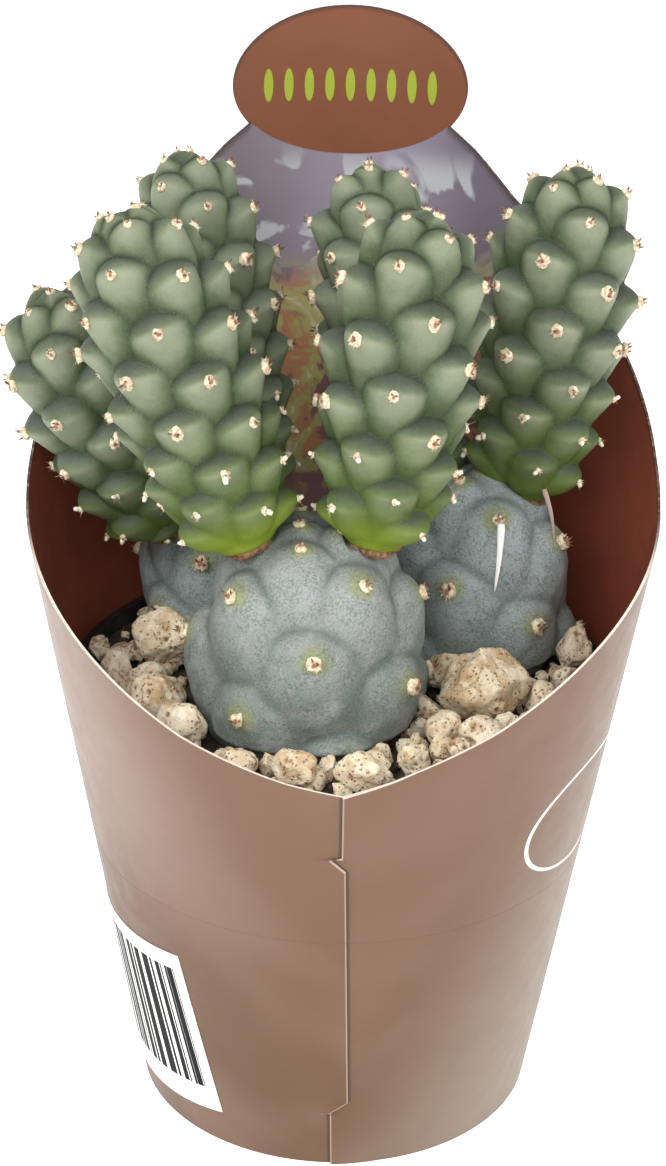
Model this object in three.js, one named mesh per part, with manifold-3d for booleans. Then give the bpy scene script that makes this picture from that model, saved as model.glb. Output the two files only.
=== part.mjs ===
// A potted Tephrocactus inermis. Three old grey joints carry six young green joints. They stand in soil
// topped with pumice stones, in a round nursery pot, inside a card sleeve whose back rises into a header.
// Millimetres, +Z up. The origin is the middle of the foot, and -Y is the front.

import * as THREE from 'three';
import { ConvexHull } from 'three/addons/math/ConvexHull.js';
import { mergeVertices } from 'three/addons/utils/BufferGeometryUtils.js';
import Module from 'manifold-3d';

const wasm = await Module();
wasm.setup();

// Driving dimensions

const CLEARANCE = 0.35; // air kept between two pieces that touch
const WELD_DISTANCE = 1e-4;
const TAU = 2 * Math.PI;
const GOLDEN_ANGLE = TAU * (2 - (1 + Math.sqrt(5)) / 2);

// Card sleeve: a cone of card, its edge low at the front and rising to a header at the back
const SLEEVE_FOOT_RADIUS = 24.3;
const SLEEVE_FLARE = 0.167; // radius gained for each millimetre of height
const CARD_THICKNESS = 0.6;
const HEADER_HALF_WIDTH = 14.7;
const HEADER_HALF_HEIGHT = 9.4;
const HEADER_CENTRE_HEIGHT = 114.8;
const HEADER_HALF_ANGLE = 19.5; // degrees from the back to the side of the header
const NECK_HALF_WIDTH = 12.7;
const LAP_HEIGHT = 0.4; // how far the upper panel of the front seam stands proud
const LAP_ANGLE = 14; // degrees over which it falls back to the wall
const TONGUE_BOTTOM = 9; // between these heights the left panel is the upper one
const TONGUE_TOP = 45.5;
const SLIT_RISE = 0.5; // height over which the two panels change places
const RIGHT_EDGE_LIFT = 0.75; // the front edge is this much higher on the right and lower on the left
const TIE_ANGLE = 0.1; // degrees within which a column counts as the header's
const TIE_HEIGHT = 0.1; // and height within which a row counts as the tongue's
const CUT_ANGLE = 0.2; // degrees at the seam in which the upper panel drops to the lower one
const NOTCH_ANGLE = 22; // degrees from the back to the outer side of the cut under the header
const NOTCH_STEPS = 5; // straight steps along the oval in that cut
const NOTCH_NEAR = 30; // the cut runs along Y from here
const NOTCH_FAR = 60; // to here

// Degrees from the back and the height of the sleeve's edge there, from the neck to the front notch
const EDGE_HEIGHTS = [
  [17.2, 110.1],
  [22, 107.6],
  [30, 102.5],
  [60, 88.5],
  [80, 79.5],
  [90, 76],
  [110, 71.5],
  [130, 66.5],
  [150, 61.2],
  [170, 57.2],
  [180, 55.6],
];

// Degrees from the back to the end of each run of columns in the sleeve's wall, and the columns in it
const SLEEVE_COLUMNS = [
  [HEADER_HALF_ANGLE, 8],
  [HEADER_HALF_ANGLE + 0.4, 1],
  [60, 8],
  [180 - LAP_ANGLE, 14],
  [179.6, 3],
  [180, 1],
];

// Nursery pot
const POT_FOOT_RADIUS = 22.8;
const POT_HEIGHT = 54.3;
const POT_LIP_DEPTH = 4.3;
const POT_LIP_OVERHANG = 0.6;
const POT_WALL = 1;
const POT_FLOOR = 1.2;
const POT_SIDES = 36;
const DRAIN_HOLES = 6;
const DRAIN_RADIUS = 2.5;
const DRAIN_CIRCLE = 14;
const DRILL_HEIGHT = 10;
const DRILL_SIDES = 10;

// Soil
const SOIL_TOP = 53;
const SOIL_ROUGHNESS = 0.3;
const SOIL_WAVE = 5; // millimetres from one hollow in the soil to the next
const SOIL_SLANTS = [1 / 2, -1 / 3]; // how the two rows of hollows slant across X and Y
const SOIL_RINGS = [9, 16, 22, 27];

// Joints of the plant: an outline lists shares of the length and of the radius, from base to tip
const CLUB_OUTLINE = [
  [0, 0],
  [0, 0.48],
  [0.05, 0.6],
  [0.16, 0.75],
  [0.34, 0.9],
  [0.55, 1],
  [0.75, 0.97],
  [0.89, 0.78],
  [0.97, 0.45],
  [1, 0],
];
const GLOBE_OUTLINE = [
  [0, 0],
  [0.03, 0.5],
  [0.16, 0.9],
  [0.36, 1],
  [0.6, 0.96],
  [0.8, 0.8],
  [0.94, 0.52],
  [1, 0],
];

// A kind says how a joint is shaped and meshed. A tubercle has a height, and a reach to each side, to the
// tip and to the base. Its reach to the sides grows by the share widening towards the base, where fullness
// is the power by which it falls off, and it has a small point under its areole.
const GREEN_KIND = {
  outline: CLUB_OUTLINE,
  tubercle: { height: 2.9, side: 4, up: 2.9, down: 7.2, widening: 0.2, fullness: 1.3, point: 0.45 },
  plainRings: [1.6, 3.4, 5],
};
const GREY_KIND = {
  outline: GLOBE_OUTLINE,
  tubercle: { height: 2.8, side: 5.7, up: 4.3, down: 10.4, widening: 0.8, fullness: 1.9, point: 0.3 },
  plainRings: [3, 7, 11],
};
const POINT_REACH = 1.2; // millimetres over which a tubercle's point fades
const STEEP_FALL = 2.1; // power by which a tubercle falls off towards the joint's tip
const PLAIN_RING_POINTS = 9;
const PLAIN_HEIGHT = 53.5; // joints have no tubercles up to here, in the soil and against the pot's lip
const SOIL_MARGIN = 2.3; // and over this height the tubercles grow to their full size
const SMOOTH_BASE = 2.2; // arc from the base over which a joint has no tubercles
const OUTLINE_STEPS = 240; // straight steps along a joint's outline
const SLOPE_STEP = 0.3; // arc to either side over which the outline's direction is taken
const BARE_TIP = 0.06; // share of the radius left without areoles at the tip
const CROWDED_RISE = 0.6; // share of the rise that is left where areoles crowd at the tip
const CROWDED_SIZE = 0.7; // share of a tubercle's size that is left there

// Shares of neighbouring areoles at which a groove's corner is looked for
const SADDLE_WEIGHTS = [0.3, 0.4, 0.5, 0.6, 0.7].map((share) => [share, 1 - share]);
const SLOPE_WEIGHTS = [[0.5, 0.5]];
const GROOVE_WEIGHTS = [[1, 1, 1], [2, 1, 1], [1, 2, 1], [1, 1, 2], [3, 3, 2], [3, 2, 3], [2, 3, 3]].map(
  (weights) => weights.map((weight) => weight / weights.reduce((sum, other) => sum + other)),
);
const SPINE_LENGTH = 1.3;
const SPINE_RADIUS = 0.5;
const SPINE_LEAN = 0.3; // how much of the joint's own direction is in its spines
const SPINELESS_HEIGHT = 4; // no spines up to this height over the soil

// base and tip lie on the joint's axis. first is the arc from the base to the first areole, rise the growth
// of the arc from one areole to the next, turn the first one's bearing in degrees, and hand the way that
// the spiral winds.
const GREY_JOINTS = [
  { name: 'grey_joint_front', base: [-4.6, -9.2, 45.6], tip: [-3, -10.4, 76], radius: 11.8,
    rise: 1.507, first: 15.03, turn: 160, hand: -1 },
  { name: 'grey_joint_right', base: [16.6, 9, 47], tip: [16.2, 8.6, 75.2], radius: 9.5,
    rise: 1.556, first: 6.36, turn: 191, hand: -1 },
  { name: 'grey_joint_left', base: [-13.9, 14.5, 46.6], tip: [-14.7, 14.3, 72], radius: 8.4,
    rise: 1.4, first: 10, turn: 282, hand: -1 },
];
const GREEN_JOINTS = [
  { name: 'green_joint_front_left', base: [-10.8, -11.5, 75.8], tip: [-23.7, -11.5, 111.7], radius: 6,
    rise: 0.809, first: 6.53, turn: 224, hand: -1 },
  { name: 'green_joint_front_right', base: [3.6, -11.6, 76.2], tip: [7.8, -10.8, 111.8], radius: 5.8,
    rise: 0.958, first: 6.67, turn: 262, hand: 1 },
  { name: 'green_joint_right', base: [21.2, 9.6, 73.6], tip: [26.1, 8.4, 111.4], radius: 5.9,
    rise: 0.867, first: 7.87, turn: 57, hand: -1 },
  { name: 'green_joint_back_left', base: [-11.9, 17, 69.4], tip: [-18.9, 12.6, 111.4], radius: 5.3,
    rise: 0.83, first: 6.12, turn: 228, hand: -1 },
  { name: 'green_joint_back_centre', base: [9.8, 12.8, 69.4], tip: [2.1, 15.8, 109.4], radius: 5.4,
    rise: 0.977, first: 4.38, turn: 94, hand: -1 },
  { name: 'green_joint_far_left', base: [-21.3, 9, 68.8], tip: [-33.9, 2.2, 97.6], radius: 5.5,
    rise: 0.868, first: 4.57, turn: 4, hand: 1 },
];

// Pumice stones that show at the front: where they lie, their length, width and height, and their turn
const FRONT_STONES = [
  { at: [-20.4, 2.8], size: [12, 8.4, 8.4], turn: 15 },
  { at: [-29.2, 3.3], size: [4.2, 3.6, 4], turn: 90 },
  { at: [-26.7, -2.4], size: [5.4, 4.6, 5], turn: 100 },
  { at: [-22.7, -4.2], size: [5.8, 4, 4], turn: 10 },
  { at: [-21.3, -11.7], size: [8.4, 7, 7], turn: 20 },
  { at: [-17.4, -18.5], size: [4.6, 3.8, 4], turn: 40 },
  { at: [-12.7, -23.3], size: [4.2, 3.6, 3.4], turn: 0 },
  { at: [-4.6, -27], size: [6.4, 4.6, 5.4], turn: -15 },
  { at: [2.8, -28], size: [8, 4.8, 5.4], turn: 0 },
  { at: [8.5, -24.5], size: [4.4, 4.2, 5.5], turn: 0 },
  { at: [12, -16.6], size: [5.8, 4.8, 5], turn: 30 },
  { at: [13.4, -21], size: [4, 3.4, 4], turn: 0 },
  { at: [16.4, -9.9], size: [13.4, 9.8, 10.5], turn: 12 },
  { at: [23.7, -9.4], size: [5.4, 4.4, 5.5], turn: 60 },
  { at: [28.2, 2.2], size: [5.6, 5, 7], turn: 80 },
  { at: [26.6, -3.4], size: [4.8, 4, 4.5], turn: 40 },
  { at: [19.4, -15.4], size: [4.4, 3.4, 4.5], turn: -20 },
  { at: [16.2, -16], size: [3.4, 3, 4], turn: 50 },
];
const FILL_STONES = 64; // places tried for more stones, on a sunflower spiral over the whole pot
const FILL_SIZE = [4.2, 7.6];
const FILL_WIDTH = [0.75, 0.95]; // shares of the length
const FILL_HEIGHT = [0.65, 0.9];
const FILL_SEED = 11;
const FILL_MARGIN = 2.5; // kept between the outermost place and the pot
const STONE_CENTRE = 0.4; // share of a stone's height at which its centre stands over the soil
const STONE_SHRINK = 0.92; // the corners of a stone lie about this far out, give or take the roughness
const STONE_ROUGHNESS = 0.14;
const LARGE_STONE = 5; // stones longer than this have more faces
const STONE_GAP = 0.45; // air between stones
const STONE_ROOM_HEIGHT = 20;
const FRONT_STONE_LEFT = 0.3; // least share of its volume that a stone keeps after trimming
const FILL_STONE_LEFT = 0.72;

// General helpers

function seededRandom(seed) {
  let state = seed;
  return () => {
    state = (state + 0x6d2b79f5) | 0;
    let mixed = Math.imul(state ^ (state >>> 15), 1 | state);
    mixed = (mixed + Math.imul(mixed ^ (mixed >>> 7), 61 | mixed)) ^ mixed;
    return ((mixed ^ (mixed >>> 14)) >>> 0) / 4294967296;
  };
}

function weldedGeometry(geometry) {
  geometry.deleteAttribute('normal');
  geometry.deleteAttribute('uv');
  const welded = mergeVertices(geometry, WELD_DISTANCE);
  const corners = welded.index.array;
  const faces = [];
  for (let i = 0; i < corners.length; i += 3) {
    const [a, b, c] = corners.slice(i, i + 3);
    if (a !== b && b !== c && c !== a) faces.push(a, b, c);
  }
  welded.setIndex(faces);
  return welded;
}

function toSolid(geometry) {
  const welded = weldedGeometry(geometry);
  const vertProperties = new Float32Array(welded.attributes.position.array);
  const triVerts = new Uint32Array(welded.index.array);
  return new wasm.Manifold(new wasm.Mesh({ numProp: 3, vertProperties, triVerts }));
}

function toGeometry(solid) {
  const { vertProperties, triVerts } = solid.getMesh();
  const geometry = new THREE.BufferGeometry();
  geometry.setAttribute('position', new THREE.BufferAttribute(vertProperties, 3));
  geometry.setIndex(new THREE.BufferAttribute(triVerts, 1));
  geometry.computeVertexNormals();
  return geometry;
}

// Triangles that join points of a convex surface, as corner numbers
function hullFaces(points) {
  const numbers = new Map(points.map((point, number) => [point, number]));
  const faces = [];
  for (const face of new ConvexHull().setFromPoints(points).faces) {
    for (let i = 0; i < 3; i += 1) faces.push(numbers.get(face.getEdge(i).head().point));
  }
  return faces;
}

function largestBody(solid) {
  return solid.decompose().reduce((best, body) => (body.volume() > best.volume() ? body : best));
}

function interpolate(table, x) {
  const next = table.findIndex(([key]) => key >= x);
  if (next === 0) return table[0][1];
  if (next < 0) return table[table.length - 1][1];
  const [x0, y0] = table[next - 1];
  const [x1, y1] = table[next];
  return THREE.MathUtils.mapLinear(x, x0, x1, y0, y1);
}

// A lathe turns its profile about Y, so this stands the result up along Z
function turned(points, sides) {
  const geometry = new THREE.LatheGeometry(points.map(([r, z]) => new THREE.Vector2(r, z)), sides);
  return geometry.rotateX(Math.PI / 2);
}

// Card sleeve

function sleeveRadius(z) {
  return SLEEVE_FOOT_RADIUS + SLEEVE_FLARE * z;
}

function sleeveInside(z) {
  return sleeveRadius(z) - CARD_THICKNESS;
}

// bearing is in degrees from the back, positive to the right
function sleeveEdgeHeight(bearing) {
  const fromBack = Math.abs(bearing);
  if (fromBack > HEADER_HALF_ANGLE + TIE_ANGLE) {
    const frontShare = Math.max(0, Math.sin(THREE.MathUtils.degToRad(2 * (fromBack - 90))));
    return interpolate(EDGE_HEIGHTS, fromBack) + Math.sign(bearing) * RIGHT_EDGE_LIFT * frontShare;
  }
  const across = Math.min(1, fromBack / HEADER_HALF_ANGLE);
  return HEADER_CENTRE_HEIGHT + HEADER_HALF_HEIGHT * Math.sqrt(1 - across ** 2);
}

// The upper panel of the seam stands proud at the front and falls back to the wall over the lap angle
function lapHeight(bearing, z) {
  const onTongue = z > TONGUE_BOTTOM - TIE_HEIGHT && z < TONGUE_TOP + TIE_HEIGHT;
  const upperSide = onTongue ? -1 : 1;
  const fromSeam = 180 - Math.abs(bearing);
  if (Math.sign(bearing) !== upperSide || fromSeam < CUT_ANGLE) return 0;
  return LAP_HEIGHT * Math.max(0, 1 - fromSeam / LAP_ANGLE);
}

function sleeveBearings() {
  const half = [];
  let start = 0;
  for (const [end, count] of SLEEVE_COLUMNS) {
    for (let i = 0; i < count; i += 1) half.push(start + ((end - start) * i) / count);
    start = end;
  }
  const left = half.slice(1).reverse().map((bearing) => -bearing);
  return [-180, ...left, ...half];
}

// The wall is a lathed band whose columns are moved to the bearings, and whose rows to the card's heights
function sleeveWall() {
  const bearings = sleeveBearings();
  const seamHeights = [0, TONGUE_BOTTOM - SLIT_RISE, TONGUE_BOTTOM, TONGUE_TOP, TONGUE_TOP + SLIT_RISE];
  const rows = [[0, 0], [0, 5], [1, 5], [1, 4], [1, 3], [1, 2], [1, 1], [1, 0], [0, 0]];
  const geometry = turned(rows, bearings.length);
  const position = geometry.attributes.position;
  for (let i = 0; i < position.count; i += 1) {
    const bearing = bearings[Math.floor(i / rows.length) % bearings.length];
    const [outside, row] = rows[i % rows.length];
    const z = [...seamHeights, sleeveEdgeHeight(bearing)][row];
    const radius = outside ? sleeveRadius(z) + lapHeight(bearing, z) : sleeveInside(z);
    const angle = THREE.MathUtils.degToRad(bearing);
    position.setXYZ(i, radius * Math.sin(angle), radius * Math.cos(angle), z);
  }
  return geometry;
}

// The wedge of air between the underside of the header's oval and the shoulder, cut through along Y
function neckNotch(side) {
  const shape = new THREE.Shape();
  const start = Math.acos(NECK_HALF_WIDTH / HEADER_HALF_WIDTH);
  shape.moveTo(NECK_HALF_WIDTH, HEADER_CENTRE_HEIGHT - HEADER_HALF_HEIGHT * Math.sin(start));
  for (let i = 1; i <= NOTCH_STEPS; i += 1) {
    const angle = start * (1 - i / NOTCH_STEPS);
    const height = HEADER_CENTRE_HEIGHT - HEADER_HALF_HEIGHT * Math.sin(angle);
    shape.lineTo(HEADER_HALF_WIDTH * Math.cos(angle), height);
  }
  const edgeHeight = interpolate(EDGE_HEIGHTS, NOTCH_ANGLE);
  const shoulder = sleeveRadius(edgeHeight) * Math.sin(THREE.MathUtils.degToRad(NOTCH_ANGLE));
  shape.lineTo(shoulder, HEADER_CENTRE_HEIGHT);
  shape.lineTo(shoulder, edgeHeight);
  const geometry = new THREE.ExtrudeGeometry(shape, { depth: NOTCH_FAR - NOTCH_NEAR, bevelEnabled: false });
  geometry.rotateX(Math.PI / 2).translate(0, NOTCH_FAR, 0);
  const notch = toSolid(geometry);
  return side > 0 ? notch : notch.mirror([1, 0, 0]);
}

function sleeve() {
  return largestBody(toSolid(sleeveWall()).subtract(neckNotch(1)).subtract(neckNotch(-1)));
}

// Nursery pot

function potOutside(z) {
  const underLip = sleeveInside(POT_HEIGHT - POT_LIP_DEPTH) - CLEARANCE - POT_LIP_OVERHANG;
  return THREE.MathUtils.mapLinear(z, 0, POT_HEIGHT - POT_LIP_DEPTH, POT_FOOT_RADIUS, underLip);
}

function potInside(z) {
  return potOutside(z) - POT_WALL;
}

function growPot() {
  const lipBottom = POT_HEIGHT - POT_LIP_DEPTH;
  const profile = [
    [0, 0],
    [POT_FOOT_RADIUS, 0],
    [potOutside(lipBottom), lipBottom],
    [potOutside(lipBottom) + POT_LIP_OVERHANG, lipBottom],
    [sleeveInside(POT_HEIGHT) - CLEARANCE, POT_HEIGHT],
    [potInside(POT_HEIGHT), POT_HEIGHT],
    [potInside(POT_FLOOR), POT_FLOOR],
    [0, POT_FLOOR],
  ];
  let pot = toSolid(turned(profile, POT_SIDES));
  for (let i = 0; i < DRAIN_HOLES; i += 1) {
    const angle = (i / DRAIN_HOLES) * TAU;
    const drill = new THREE.CylinderGeometry(DRAIN_RADIUS, DRAIN_RADIUS, DRILL_HEIGHT, DRILL_SIDES);
    drill.rotateX(Math.PI / 2);
    drill.translate(DRAIN_CIRCLE * Math.cos(angle), DRAIN_CIRCLE * Math.sin(angle), 0);
    pot = pot.subtract(toSolid(drill));
  }
  return pot;
}

// Joints of the plant

class PlantJoint {
  constructor(kind, { name, base, tip, radius, rise, first, turn, hand }) {
    this.name = name;
    this.kind = kind;
    this.radius = radius;
    this.base = new THREE.Vector3(...base);
    this.axis = new THREE.Vector3(...tip).sub(this.base);
    this.length = this.axis.length();
    this.axis.normalize();
    const front = new THREE.Vector3(0, -1, 0);
    this.ahead = front.clone().addScaledVector(this.axis, -front.dot(this.axis)).normalize();
    this.aside = new THREE.Vector3().crossVectors(this.axis, this.ahead);
    this.alongByArc = [];
    this.outByArc = [];
    this.measureOutline();
    this.areoles = this.placeAreoles(first, rise, THREE.MathUtils.degToRad(turn), hand);
    this.solid = this.body();
    this.swollen = this.body(CLEARANCE);
  }

  // Tables of the distance along the axis and out from it, by arc length from the base
  measureOutline() {
    const shares = this.kind.outline.map(([along, out]) => new THREE.Vector2(along, out));
    const points = new THREE.SplineCurve(shares).getPoints(OUTLINE_STEPS);
    for (const point of points) point.set(point.x * this.length, Math.max(0, point.y) * this.radius);
    let arc = 0;
    points.forEach((point, i) => {
      if (i > 0) arc += point.distanceTo(points[i - 1]);
      this.alongByArc.push([arc, point.x]);
      this.outByArc.push([arc, point.y]);
    });
    this.arcLength = arc;
  }

  // The smooth surface at an arc and a bearing: its point, its normal and its direction towards the tip
  surface(arc, bearing) {
    const along = interpolate(this.alongByArc, arc);
    const out = interpolate(this.outByArc, arc);
    const before = Math.max(0, arc - SLOPE_STEP);
    const after = Math.min(this.arcLength, arc + SLOPE_STEP);
    const climb = interpolate(this.alongByArc, after) - interpolate(this.alongByArc, before);
    const spread = interpolate(this.outByArc, after) - interpolate(this.outByArc, before);
    const radial = this.ahead.clone().multiplyScalar(Math.cos(bearing));
    radial.addScaledVector(this.aside, Math.sin(bearing));
    const point = this.base.clone().addScaledVector(this.axis, along).addScaledVector(radial, out);
    const normal = radial.clone().multiplyScalar(climb).addScaledVector(this.axis, -spread).normalize();
    const uphill = this.axis.clone().multiplyScalar(climb).addScaledVector(radial, spread).normalize();
    return { point, normal, uphill, crowding: out / this.radius };
  }

  // Areoles follow one spiral, a golden angle apart, and crowd together towards the tip
  placeAreoles(first, rise, turn, hand) {
    const areoles = [];
    let arc = first;
    while (arc < this.arcLength - BARE_TIP * this.radius) {
      const bearing = turn + hand * areoles.length * GOLDEN_ANGLE;
      const areole = this.surface(arc, bearing);
      const scale = THREE.MathUtils.lerp(CROWDED_SIZE, 1, areole.crowding);
      areoles.push({ ...areole, arc, bearing, scale });
      arc += rise * THREE.MathUtils.lerp(CROWDED_RISE, 1, areole.crowding);
    }
    return areoles;
  }

  // A tubercle ends in a steep arch over its areole and runs out slowly below it. The highest one counts,
  // and the point of the nearest areole stands on it.
  relief(point, arc) {
    const { height, side, up, down, widening, fullness, point: peak } = this.kind.tubercle;
    let best = 0;
    let nearest = Infinity;
    for (const areole of this.areoles) {
      const offset = point.clone().sub(areole.point);
      const along = offset.dot(areole.uphill) / areole.scale;
      const acrossSquared = offset.lengthSq() / areole.scale ** 2 - along ** 2;
      const below = Math.max(0, -along) / down;
      const fall = along > 0 ? (along / up) ** STEEP_FALL : below ** fullness;
      const rest = 1 - acrossSquared / (side * (1 + widening * below)) ** 2 - fall;
      best = Math.max(best, height * areole.scale * rest);
      nearest = Math.min(nearest, offset.length());
    }
    best += peak * Math.exp(-((nearest / POINT_REACH) ** 2));
    const leavesSoil = THREE.MathUtils.smoothstep(point.z, PLAIN_HEIGHT, PLAIN_HEIGHT + SOIL_MARGIN);
    const leavesBase = THREE.MathUtils.smoothstep(arc, SMOOTH_BASE, 3 * SMOOTH_BASE);
    return best * leavesSoil * leavesBase;
  }

  // The lowest of the places passed on the way through the given ones, weighted by each set of shares
  lowestPlace(areoles, weightings) {
    const points = this.ellipsoidPoints(areoles);
    const candidates = weightings.map((weights) => {
      const mean = new THREE.Vector3();
      points.forEach((point, i) => mean.addScaledVector(point, weights[i]));
      const place = this.placeOnEllipsoid(mean);
      return { ...place, height: this.relief(this.surface(place.arc, place.bearing).point, place.arc) };
    });
    return candidates.reduce((best, place) => (place.height < best.height ? place : best));
  }

  // Places stand on an ellipsoid of the joint's size while they are joined up and averaged
  ellipsoidPoints(places) {
    return places.map(({ arc, bearing }) => {
      const polar = (arc / this.arcLength) * Math.PI;
      const out = this.radius * Math.sin(polar);
      const along = (-this.length / 2) * Math.cos(polar);
      return new THREE.Vector3(out * Math.cos(bearing), out * Math.sin(bearing), along);
    });
  }

  placeOnEllipsoid({ x, y, z }) {
    const polar = Math.atan2(Math.hypot(x, y) / this.radius, (-2 * z) / this.length);
    return { arc: (polar / Math.PI) * this.arcLength, bearing: Math.atan2(y, x) };
  }

  // Places of the mesh's corners: both poles, plain rings at the base, every areole with the foot of its
  // spine, the grooves between areoles, and the slopes half way from an areole to its grooves
  meshPlaces() {
    const rings = [];
    for (const arc of this.kind.plainRings) {
      for (let i = 0; i < PLAIN_RING_POINTS; i += 1) {
        rings.push({ arc, bearing: ((i + arc) / PLAIN_RING_POINTS) * TAU });
      }
    }
    const ends = [{ arc: 0, bearing: 0 }, { arc: this.arcLength, bearing: 0 }];
    const joined = [...ends, ...rings, ...this.areoles];
    const faces = hullFaces(this.ellipsoidPoints(joined));
    const isAreole = (number) => number >= ends.length + rings.length;
    const places = [...joined, ...this.areoles.flatMap((areole) => this.spineFoot(areole))];
    for (let i = 0; i < faces.length; i += 3) {
      const corners = faces.slice(i, i + 3);
      if (!corners.every(isAreole)) continue;
      const areoles = corners.map((number) => joined[number]);
      const groove = this.lowestPlace(areoles, GROOVE_WEIGHTS);
      places.push(groove, ...areoles.map((areole) => this.lowestPlace([areole, groove], SLOPE_WEIGHTS)));
      for (let k = 0; k < 3; k += 1) {
        const [from, to] = [corners[k], corners[(k + 1) % 3]];
        if (from < to) places.push(this.lowestPlace([joined[from], joined[to]], SADDLE_WEIGHTS));
      }
    }
    return places;
  }

  spineFoot({ arc, bearing }) {
    return [0, 1, 2].map((corner) => {
      const direction = (corner / 3) * TAU;
      const out = interpolate(this.outByArc, arc);
      return {
        arc: arc + SPINE_RADIUS * Math.cos(direction),
        bearing: bearing + (SPINE_RADIUS * Math.sin(direction)) / Math.max(out, SPINE_RADIUS),
      };
    });
  }

  // The tip of an areole's spine, or the areole itself where the spine is left out
  spineTip(areole, swell) {
    const height = this.relief(areole.point, areole.arc) + swell;
    const tip = areole.point.clone().addScaledVector(areole.normal, height);
    const lean = areole.normal.clone().addScaledVector(this.axis, SPINE_LEAN).normalize();
    return areole.hasSpine ? tip.addScaledVector(lean, SPINE_LENGTH) : tip;
  }

  // The joint grown by swell all over. Its corners are joined up as the convex hull of the same places on
  // an ellipsoid.
  body(swell = 0) {
    const places = this.meshPlaces();
    const corners = places.flatMap((place) => {
      if (place.normal) return this.spineTip(place, swell).toArray();
      const { point, normal } = this.surface(place.arc, place.bearing);
      return point.addScaledVector(normal, this.relief(point, place.arc) + swell).toArray();
    });
    const geometry = new THREE.BufferGeometry();
    geometry.setAttribute('position', new THREE.Float32BufferAttribute(corners, 3));
    geometry.setIndex(hullFaces(this.ellipsoidPoints(places)));
    return toSolid(geometry);
  }

  // Spines stand on the areoles over the stones, where they stay clear of what is near
  growSpines(near) {
    for (const areole of this.areoles) {
      const foot = this.spineTip(areole, 0);
      areole.hasSpine = true;
      const tip = this.spineTip(areole, 0);
      const ends = [foot, tip].map((end) => (
        toSolid(new THREE.IcosahedronGeometry(SPINE_RADIUS + CLEARANCE, 0).translate(...end))
      ));
      const isFree = wasm.Manifold.hull(ends).intersect(near).isEmpty();
      areole.hasSpine = isFree && foot.z > SOIL_TOP + SPINELESS_HEIGHT;
    }
    this.solid = this.body();
  }
}

// Spines grow once everything else is in place
function growAllSpines(joints, others) {
  for (const joint of joints) {
    const neighbours = joints.filter((other) => other !== joint).map((other) => other.solid);
    joint.growSpines(wasm.Manifold.union([...neighbours, ...others]));
  }
}

// A grey joint with a hollow where each green joint sits on it
function seated(grey, greens) {
  let solid = grey.solid;
  for (const green of greens) solid = solid.subtract(green.swollen);
  return largestBody(solid);
}

// Soil: a filling of the pot with a rough top, and a plain hole for each grey joint

function soil(greys) {
  const floor = POT_FLOOR + CLEARANCE;
  const rings = [potInside(SOIL_TOP) - CLEARANCE, ...SOIL_RINGS.toReversed(), 0];
  const top = rings.map((radius) => [radius, SOIL_TOP]);
  const geometry = turned([[0, floor], [potInside(floor) - CLEARANCE, floor], ...top], POT_SIDES);
  const position = geometry.attributes.position;
  for (let i = 0; i < position.count; i += 1) {
    const [x, y, z] = [position.getX(i), position.getY(i), position.getZ(i)];
    const rows = [x + y * SOIL_SLANTS[0], y + x * SOIL_SLANTS[1]];
    const hollow = rows.reduce((product, row) => product * Math.cos((TAU * row) / SOIL_WAVE), 1);
    if (z > floor) position.setZ(i, z - SOIL_ROUGHNESS * hollow ** 2);
  }
  let filling = toSolid(geometry);
  for (const grey of greys) filling = filling.subtract(grey.swollen);
  return largestBody(filling);
}

// Pumice stones

function stoneGeometry({ at, size, turn }, seed, grow = 0) {
  const random = seededRandom(seed);
  const detail = Math.max(...size) > LARGE_STONE ? 1 : 0;
  const geometry = weldedGeometry(new THREE.IcosahedronGeometry(1, detail));
  const position = geometry.attributes.position;
  for (let i = 0; i < position.count; i += 1) {
    const corner = new THREE.Vector3().fromBufferAttribute(position, i);
    corner.multiplyScalar(STONE_SHRINK + STONE_ROUGHNESS * (2 * random() - 1));
    position.setXYZ(i, ...corner);
  }
  geometry.scale(...size.map((side) => side / 2 + grow)).rotateZ(THREE.MathUtils.degToRad(turn));
  return geometry.translate(...at, SOIL_TOP + CLEARANCE + STONE_CENTRE * size[2]);
}

// The space over the soil that stones may fill, inside the pot's lip and then inside the sleeve
function stoneRoom() {
  const floor = SOIL_TOP + CLEARANCE;
  const lip = POT_HEIGHT + CLEARANCE;
  const top = SOIL_TOP + STONE_ROOM_HEIGHT;
  return toSolid(turned([
    [0, floor],
    [potInside(floor) - CLEARANCE, floor],
    [potInside(lip) - CLEARANCE, lip],
    [sleeveInside(lip) - STONE_GAP, lip],
    [sleeveInside(top) - STONE_GAP, top],
    [0, top],
  ], POT_SIDES));
}

function fillStones() {
  const random = seededRandom(FILL_SEED);
  const places = [];
  for (let i = 0; i < FILL_STONES; i += 1) {
    const reach = (potInside(SOIL_TOP) - FILL_MARGIN) * Math.sqrt((i + 0.5) / FILL_STONES);
    const bearing = i * GOLDEN_ANGLE;
    const length = THREE.MathUtils.lerp(...FILL_SIZE, random());
    const size = [1, ...[FILL_WIDTH, FILL_HEIGHT].map((range) => THREE.MathUtils.lerp(...range, random()))];
    const at = [reach * Math.cos(bearing), reach * Math.sin(bearing)];
    places.push({ at, size: size.map((share) => share * length), turn: 360 * random() });
  }
  return places;
}

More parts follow.
